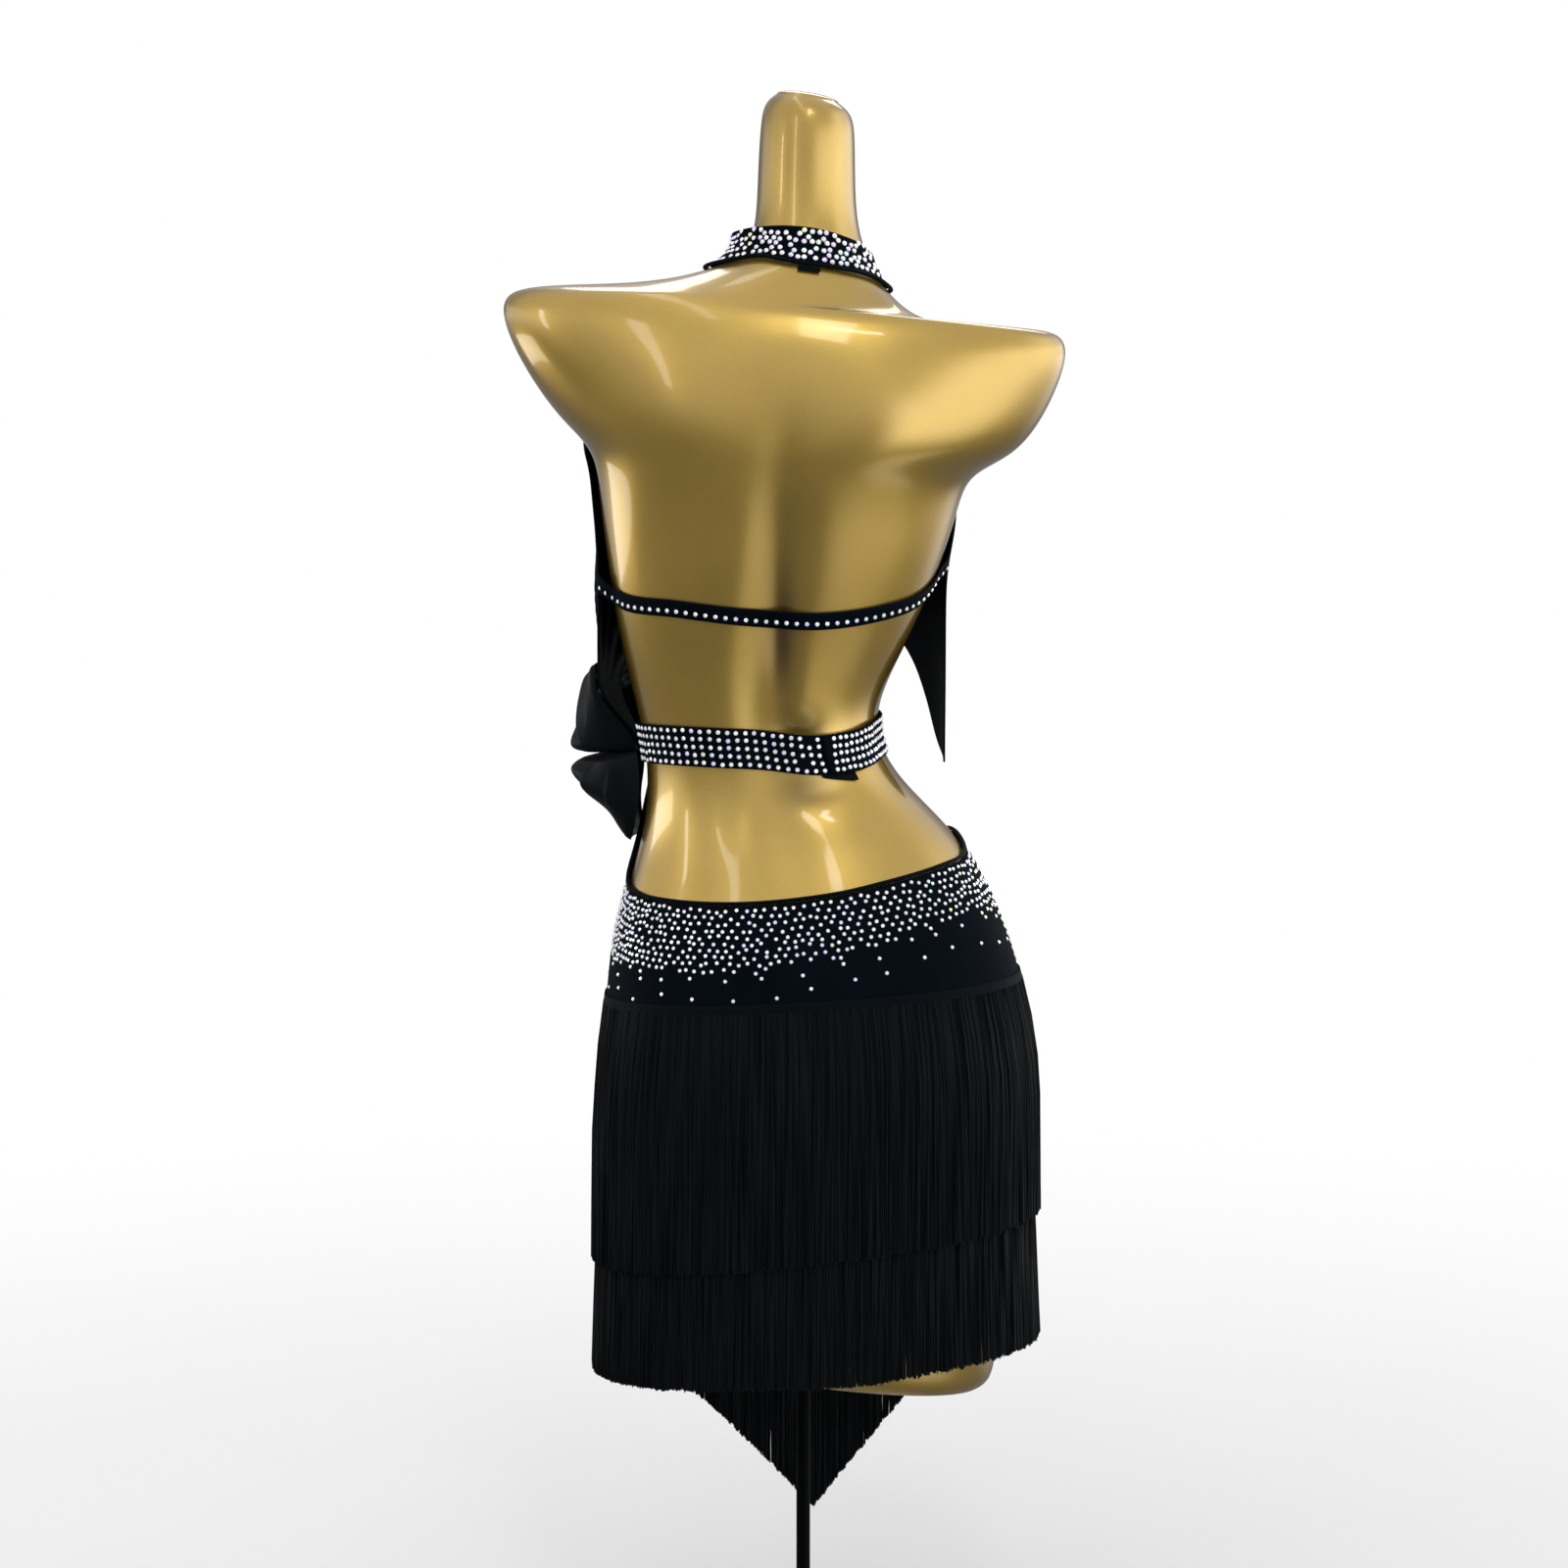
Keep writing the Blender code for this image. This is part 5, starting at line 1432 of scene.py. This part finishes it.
def lobe_point(name, across, up, off):
    """A lobe of the knot: the halter's surface, moved out by a rounded bulge with laid folds on it.

    The bulge is the lobe's own height times the sine of the share across, and each end is rounded in
    as a quarter circle. A fold rises steeply on one side of its line and falls away slowly past it.
    """
    rows = KNOT[name]
    level, bulge, front, back = np.moveaxis(spline(rows, np.clip(up, 0, 1) * (len(rows) - 1)), -1, 0)
    turn = front + (back - front) * across
    waves, wave_height, wave_share = HEAP_RIDGES
    ridge = 1 + wave_share * np.cos(math.tau * (waves * across + level / wave_height))
    to_end = np.clip(np.minimum(up, 1 - up) / KNOT_END, 0, 1)
    ends = np.sqrt(1 - (1 - to_end) ** 2)
    full = np.sin(math.pi * np.clip(across, 0, 1)) ** HEAP_FULLNESS
    folds = np.zeros_like(level)
    for pleat in PLEATS[name]:
        line = pleat.across_foot + (pleat.across_head - pleat.across_foot) * up
        away = across - line
        along = np.clip((up - pleat.first) / (pleat.last - pleat.first), 0, 1)
        body = np.sin(math.pi * along) ** PLEAT_FULLNESS
        folds = folds + pleat.depth / 1000 * body * step(away / PLEAT_RISE) * bell(away, pleat.width)
    height = (bulge * ridge * full + (folds - PLEAT_SINK) * full**2) * ends
    return bodice_point(turn, level, CLOTH + HEAP_LIFT + np.maximum(height, 0) + off)


def make_knot():
    """Bunch of gathered satin at the wearer's left waist: two lobes of folded cloth."""
    rows, columns = KNOT_GRID
    across = np.broadcast_to(np.linspace(0, 1, columns)[None, :], KNOT_GRID)
    up = np.broadcast_to(np.linspace(0, 1, rows)[:, None], KNOT_GRID)
    for name in KNOT:
        outer = lobe_point(name, across, up, CLOTH + 0 * up)
        piece = shell(f"knot_{name}_satin", lobe_point(name, across, up, 0 * up), outer, satin())
        stands_for(piece, f"side_knot_{name}")
        sheet(outer)


# ---------------------------------------------------------------- stage


def area_light(name, place, aim, size, power):
    """Rectangular lamp that faces what it aims at."""
    light = bpy.data.lights.new(name, "AREA")
    light.shape = "RECTANGLE"
    light.size, light.size_y = size
    light.energy = power
    lamp = add_object(name, light)
    lamp.location = place
    lamp.rotation_euler = (Vector(aim) - Vector(place)).to_track_quat("-Z", "Y").to_euler()


FLOOR_RADIUS, FLOOR_DROP = 9.0, 0.0002
FLOOR_FADE = (0.25, 2.2)  # metres from the middle over which it runs out into white
FLOOR_BOUNCE = 0.25  # share of the floor's paleness that lights the part from below


def make_floor():
    """Pale round floor, which runs out into white."""
    low = float(CAD_BOX[0][2]) - FLOOR_DROP
    mesh = bpy.data.meshes.new("floor")
    rim = [(FLOOR_RADIUS * math.cos(a), FLOOR_RADIUS * math.sin(a), low) for a in ring_angles(96)]
    mesh.from_pydata(rim, [], [range(len(rim))])
    shade = bpy.context.scene.dress_colours.floor

    def build(tree, shader):
        place, seen = object_place(tree), seen_directly(tree)
        grain = drift(tree, place, 3.0, 0.98, 1.0)
        lit = reckon(tree, "MULTIPLY", grain, reckon(tree, "MAXIMUM", seen, FLOOR_BOUNCE))
        set_sockets(tree, shader, Base_Color=mixed(tree, lit, opaque((0, 0, 0)), opaque(shade)),
                    Roughness=0.75, Specular_IOR_Level=0.2)
        away = node(tree, "ShaderNodeVectorMath", {"operation": "LENGTH"}, Vector=place).outputs["Value"]
        far = ranged(tree, away, SMOOTH, From_Min=FLOOR_FADE[0], From_Max=FLOOR_FADE[1])
        white = node(tree, "ShaderNodeEmission", Color=(1.0, 1.0, 1.0, 1.0), Strength=1.0)
        blend = node(tree, "ShaderNodeMixShader", Fac=reckon(tree, "MULTIPLY", far, seen))
        tree.links.new(shader.outputs["BSDF"], blend.inputs[1])
        tree.links.new(white.outputs["Emission"], blend.inputs[2])
        tree.links.new(blend.outputs["Shader"], tree.nodes["Material Output"].inputs["Surface"])

    mesh.materials.append(new_material("pale floor", build))
    floor = add_object("floor", mesh)
    floor.visible_glossy = False


Wall = namedtuple("Wall", "way inner outer rise fall glow")
WALLS = [  # lit or darker parts of the room: degrees right of the camera, degrees to each side, slopes
    Wall(0.0, 179.0, 180.0, (-0.26, 0.30), (1.5, 2.0), 0.62),
    Wall(44.0, 26.0, 44.0, (-0.62, -0.40), (-0.20, 0.00), 0.42),
    Wall(42.0, 42.0, 53.0, (-1.20, -1.10), (-0.66, -0.50), 0.85),
    Wall(112.0, 20.0, 55.0, (0.20, 0.42), (0.60, 0.85), 0.95),
    Wall(-104.0, 14.0, 44.0, (-0.24, -0.04), (0.06, 0.26), 0.90),
    Wall(82.0, 45.0, 74.0, (-0.48, -0.08), (0.12, 0.40), 1.75),
    Wall(180.0, 50.0, 90.0, (-0.05, 0.05), (0.60, 0.90), -0.45),
]
ROOM_SHADE = 0.215  # glow of the rest of the room


def make_world():
    """Studio surroundings: white to the camera, and to the part a dim room with lit walls and ceiling.

    A wall's glow is its smooth step across, times the smooth step of its lower slopes less that of
    its upper ones.
    """
    world = bpy.data.worlds.new("studio")
    world.use_nodes = True
    tree = world.node_tree
    way = node(tree, "ShaderNodeTexCoord").outputs["Generated"]
    slope = node(tree, "ShaderNodeSeparateXYZ", Vector=way).outputs["Z"]

    def ramp(value, low, high):
        return ranged(tree, value, SMOOTH, From_Min=low, From_Max=high)

    glow = ROOM_SHADE
    for wall in WALLS:
        angle = math.radians(wall.way)
        along = node(tree, "ShaderNodeVectorMath", {"operation": "DOT_PRODUCT"}, Vector=way)
        fill(tree, along.inputs[1], (-math.sin(angle), math.cos(angle), 0.0))
        outer, inner = (math.cos(math.radians(side)) for side in (wall.outer, wall.inner))
        upright = reckon(tree, "SUBTRACT", ramp(slope, *wall.rise), ramp(slope, *wall.fall))
        lit = reckon(tree, "MULTIPLY", ramp(along.outputs["Value"], outer, inner), upright)
        glow = reckon(tree, "ADD", reckon(tree, "MULTIPLY", lit, wall.glow), glow)
    strength = reckon(tree, "MAXIMUM", glow, seen_directly(tree))
    set_sockets(tree, tree.nodes["Background"], Color=(1.0, 1.0, 1.0, 1.0), Strength=strength)
    bpy.context.scene.world = world


def make_camera():
    """Camera behind the part, aimed a little downwards."""
    setup = bpy.context.scene.dress_stage
    lens = bpy.data.cameras.new("camera")
    lens.lens = setup.lens
    lens.sensor_width = 36.0
    aim = Vector((setup.aim_across, 0.0, setup.aim_height))
    back = Vector((0.0, math.cos(setup.elevation), math.sin(setup.elevation)))
    camera = add_object("camera", lens)
    camera.location = aim + back * setup.distance
    camera.rotation_euler = (-back).to_track_quat("-Z", "Y").to_euler()
    bpy.context.scene.camera = camera


Lamp = namedtuple("Lamp", "name place aim size power")
LAMPS = [  # a soft box in front of the part, and small bright lamps behind it that the lacquer mirrors
    Lamp("front_box", (-0.3, -2.4, 3.0), (0.0, 0.0, 0.8), (1.8, 1.2), 20.0),
    Lamp("strip_side", (1.34, 2.12, 2.02), (0.0, 0.0, 0.70), (0.20, 1.0), 1.7),
    Lamp("panel_side", (1.10, -0.26, 0.725), (0.1, 0.06, 0.92), (0.66, 0.15), 0.85),
    Lamp("strip_thin", (2.40, 0.95, 1.40), (0.0, 0.0, 0.70), (0.16, 0.9), 2.2),
    Lamp("strip_ceiling", (0.42, 0.60, 3.5), (0.42, 0.60, 0.0), (0.14, 3.4), 2.6),
    Lamp("lamp_back", (-0.40, 2.35, 3.3), (-0.40, 2.35, 0.0), (0.36, 1.7), 8.6),
    Lamp("lamp_top", (-0.62, 2.0, 3.15), (0.0, 0.0, 0.65), (0.50, 0.12), 1.6),
]


def make_stage():
    """Floor, surroundings, lights and camera."""
    make_floor()
    make_world()
    strength = bpy.context.scene.dress_stage.brightness
    for lamp in LAMPS:
        area_light(lamp.name, lamp.place, lamp.aim, lamp.size, lamp.power * strength)
    bpy.context.scene.view_settings.view_transform = "Standard"
    make_camera()


# ---------------------------------------------------------------- add-on


class DressOperator(Operator):
    """Base of the dress's operators: runs one maker."""

    bl_options = {"REGISTER", "UNDO"}
    maker = None

    def execute(self, context):
        type(self).maker()
        return {"FINISHED"}


def operator(idname, label, maker):
    """Operator class of one maker, with the maker's own docstring."""
    members = {"bl_idname": f"dress.{idname}", "bl_label": label, "__doc__": maker.__doc__,
               "maker": staticmethod(maker)}
    return type(f"DRESS_OT_{idname}", (DressOperator,), members)


OPERATORS = [
    operator("form", "Dress form", make_form),
    operator("stand", "Clear stand", make_stand),
    operator("underskirt", "Underskirt", make_underskirt),
    operator("yoke", "Yoke and its stones", make_yoke),
    operator("fringe", "Fringe", make_fringe),
    operator("belt", "Belt", make_belt),
    operator("collar", "Collar", make_collar),
    operator("halter", "Halter front", make_halter),
    operator("strap", "Back strap", make_strap),
    operator("knot", "Side knot", make_knot),
    operator("stage", "Stage", make_stage),
]


class DRESS_PT_panel(Panel):
    """The dress's sizes, colours and makers."""

    bl_label = "Salsa dress"
    bl_space_type = "VIEW_3D"
    bl_region_type = "UI"
    bl_category = "Salsa dress"

    def draw(self, context):
        for group in (context.scene.dress_sizes, context.scene.dress_colours, context.scene.dress_stage):
            column = self.layout.column()
            for key in type(group).__annotations__:
                column.prop(group, key)
        for maker in OPERATORS:
            self.layout.operator(maker.bl_idname)


CLASSES = (DressSizes, DressColours, StageSetup, *OPERATORS, DRESS_PT_panel)


def register():
    for each in CLASSES:
        bpy.utils.register_class(each)
    bpy.types.Scene.dress_sizes = PointerProperty(type=DressSizes)
    bpy.types.Scene.dress_colours = PointerProperty(type=DressColours)
    bpy.types.Scene.dress_stage = PointerProperty(type=StageSetup)


def unregister():
    del bpy.types.Scene.dress_sizes, bpy.types.Scene.dress_colours, bpy.types.Scene.dress_stage
    for each in reversed(CLASSES):
        bpy.utils.unregister_class(each)


def main():
    register()
    bpy.ops.dress.stage()
    bpy.ops.dress.form()
    bpy.ops.dress.stand()
    bpy.ops.dress.underskirt()
    bpy.ops.dress.yoke()
    bpy.ops.dress.fringe()
    bpy.ops.dress.belt()
    bpy.ops.dress.collar()
    bpy.ops.dress.halter()
    bpy.ops.dress.strap()
    bpy.ops.dress.knot()


if __name__ == "__main__":
    main()
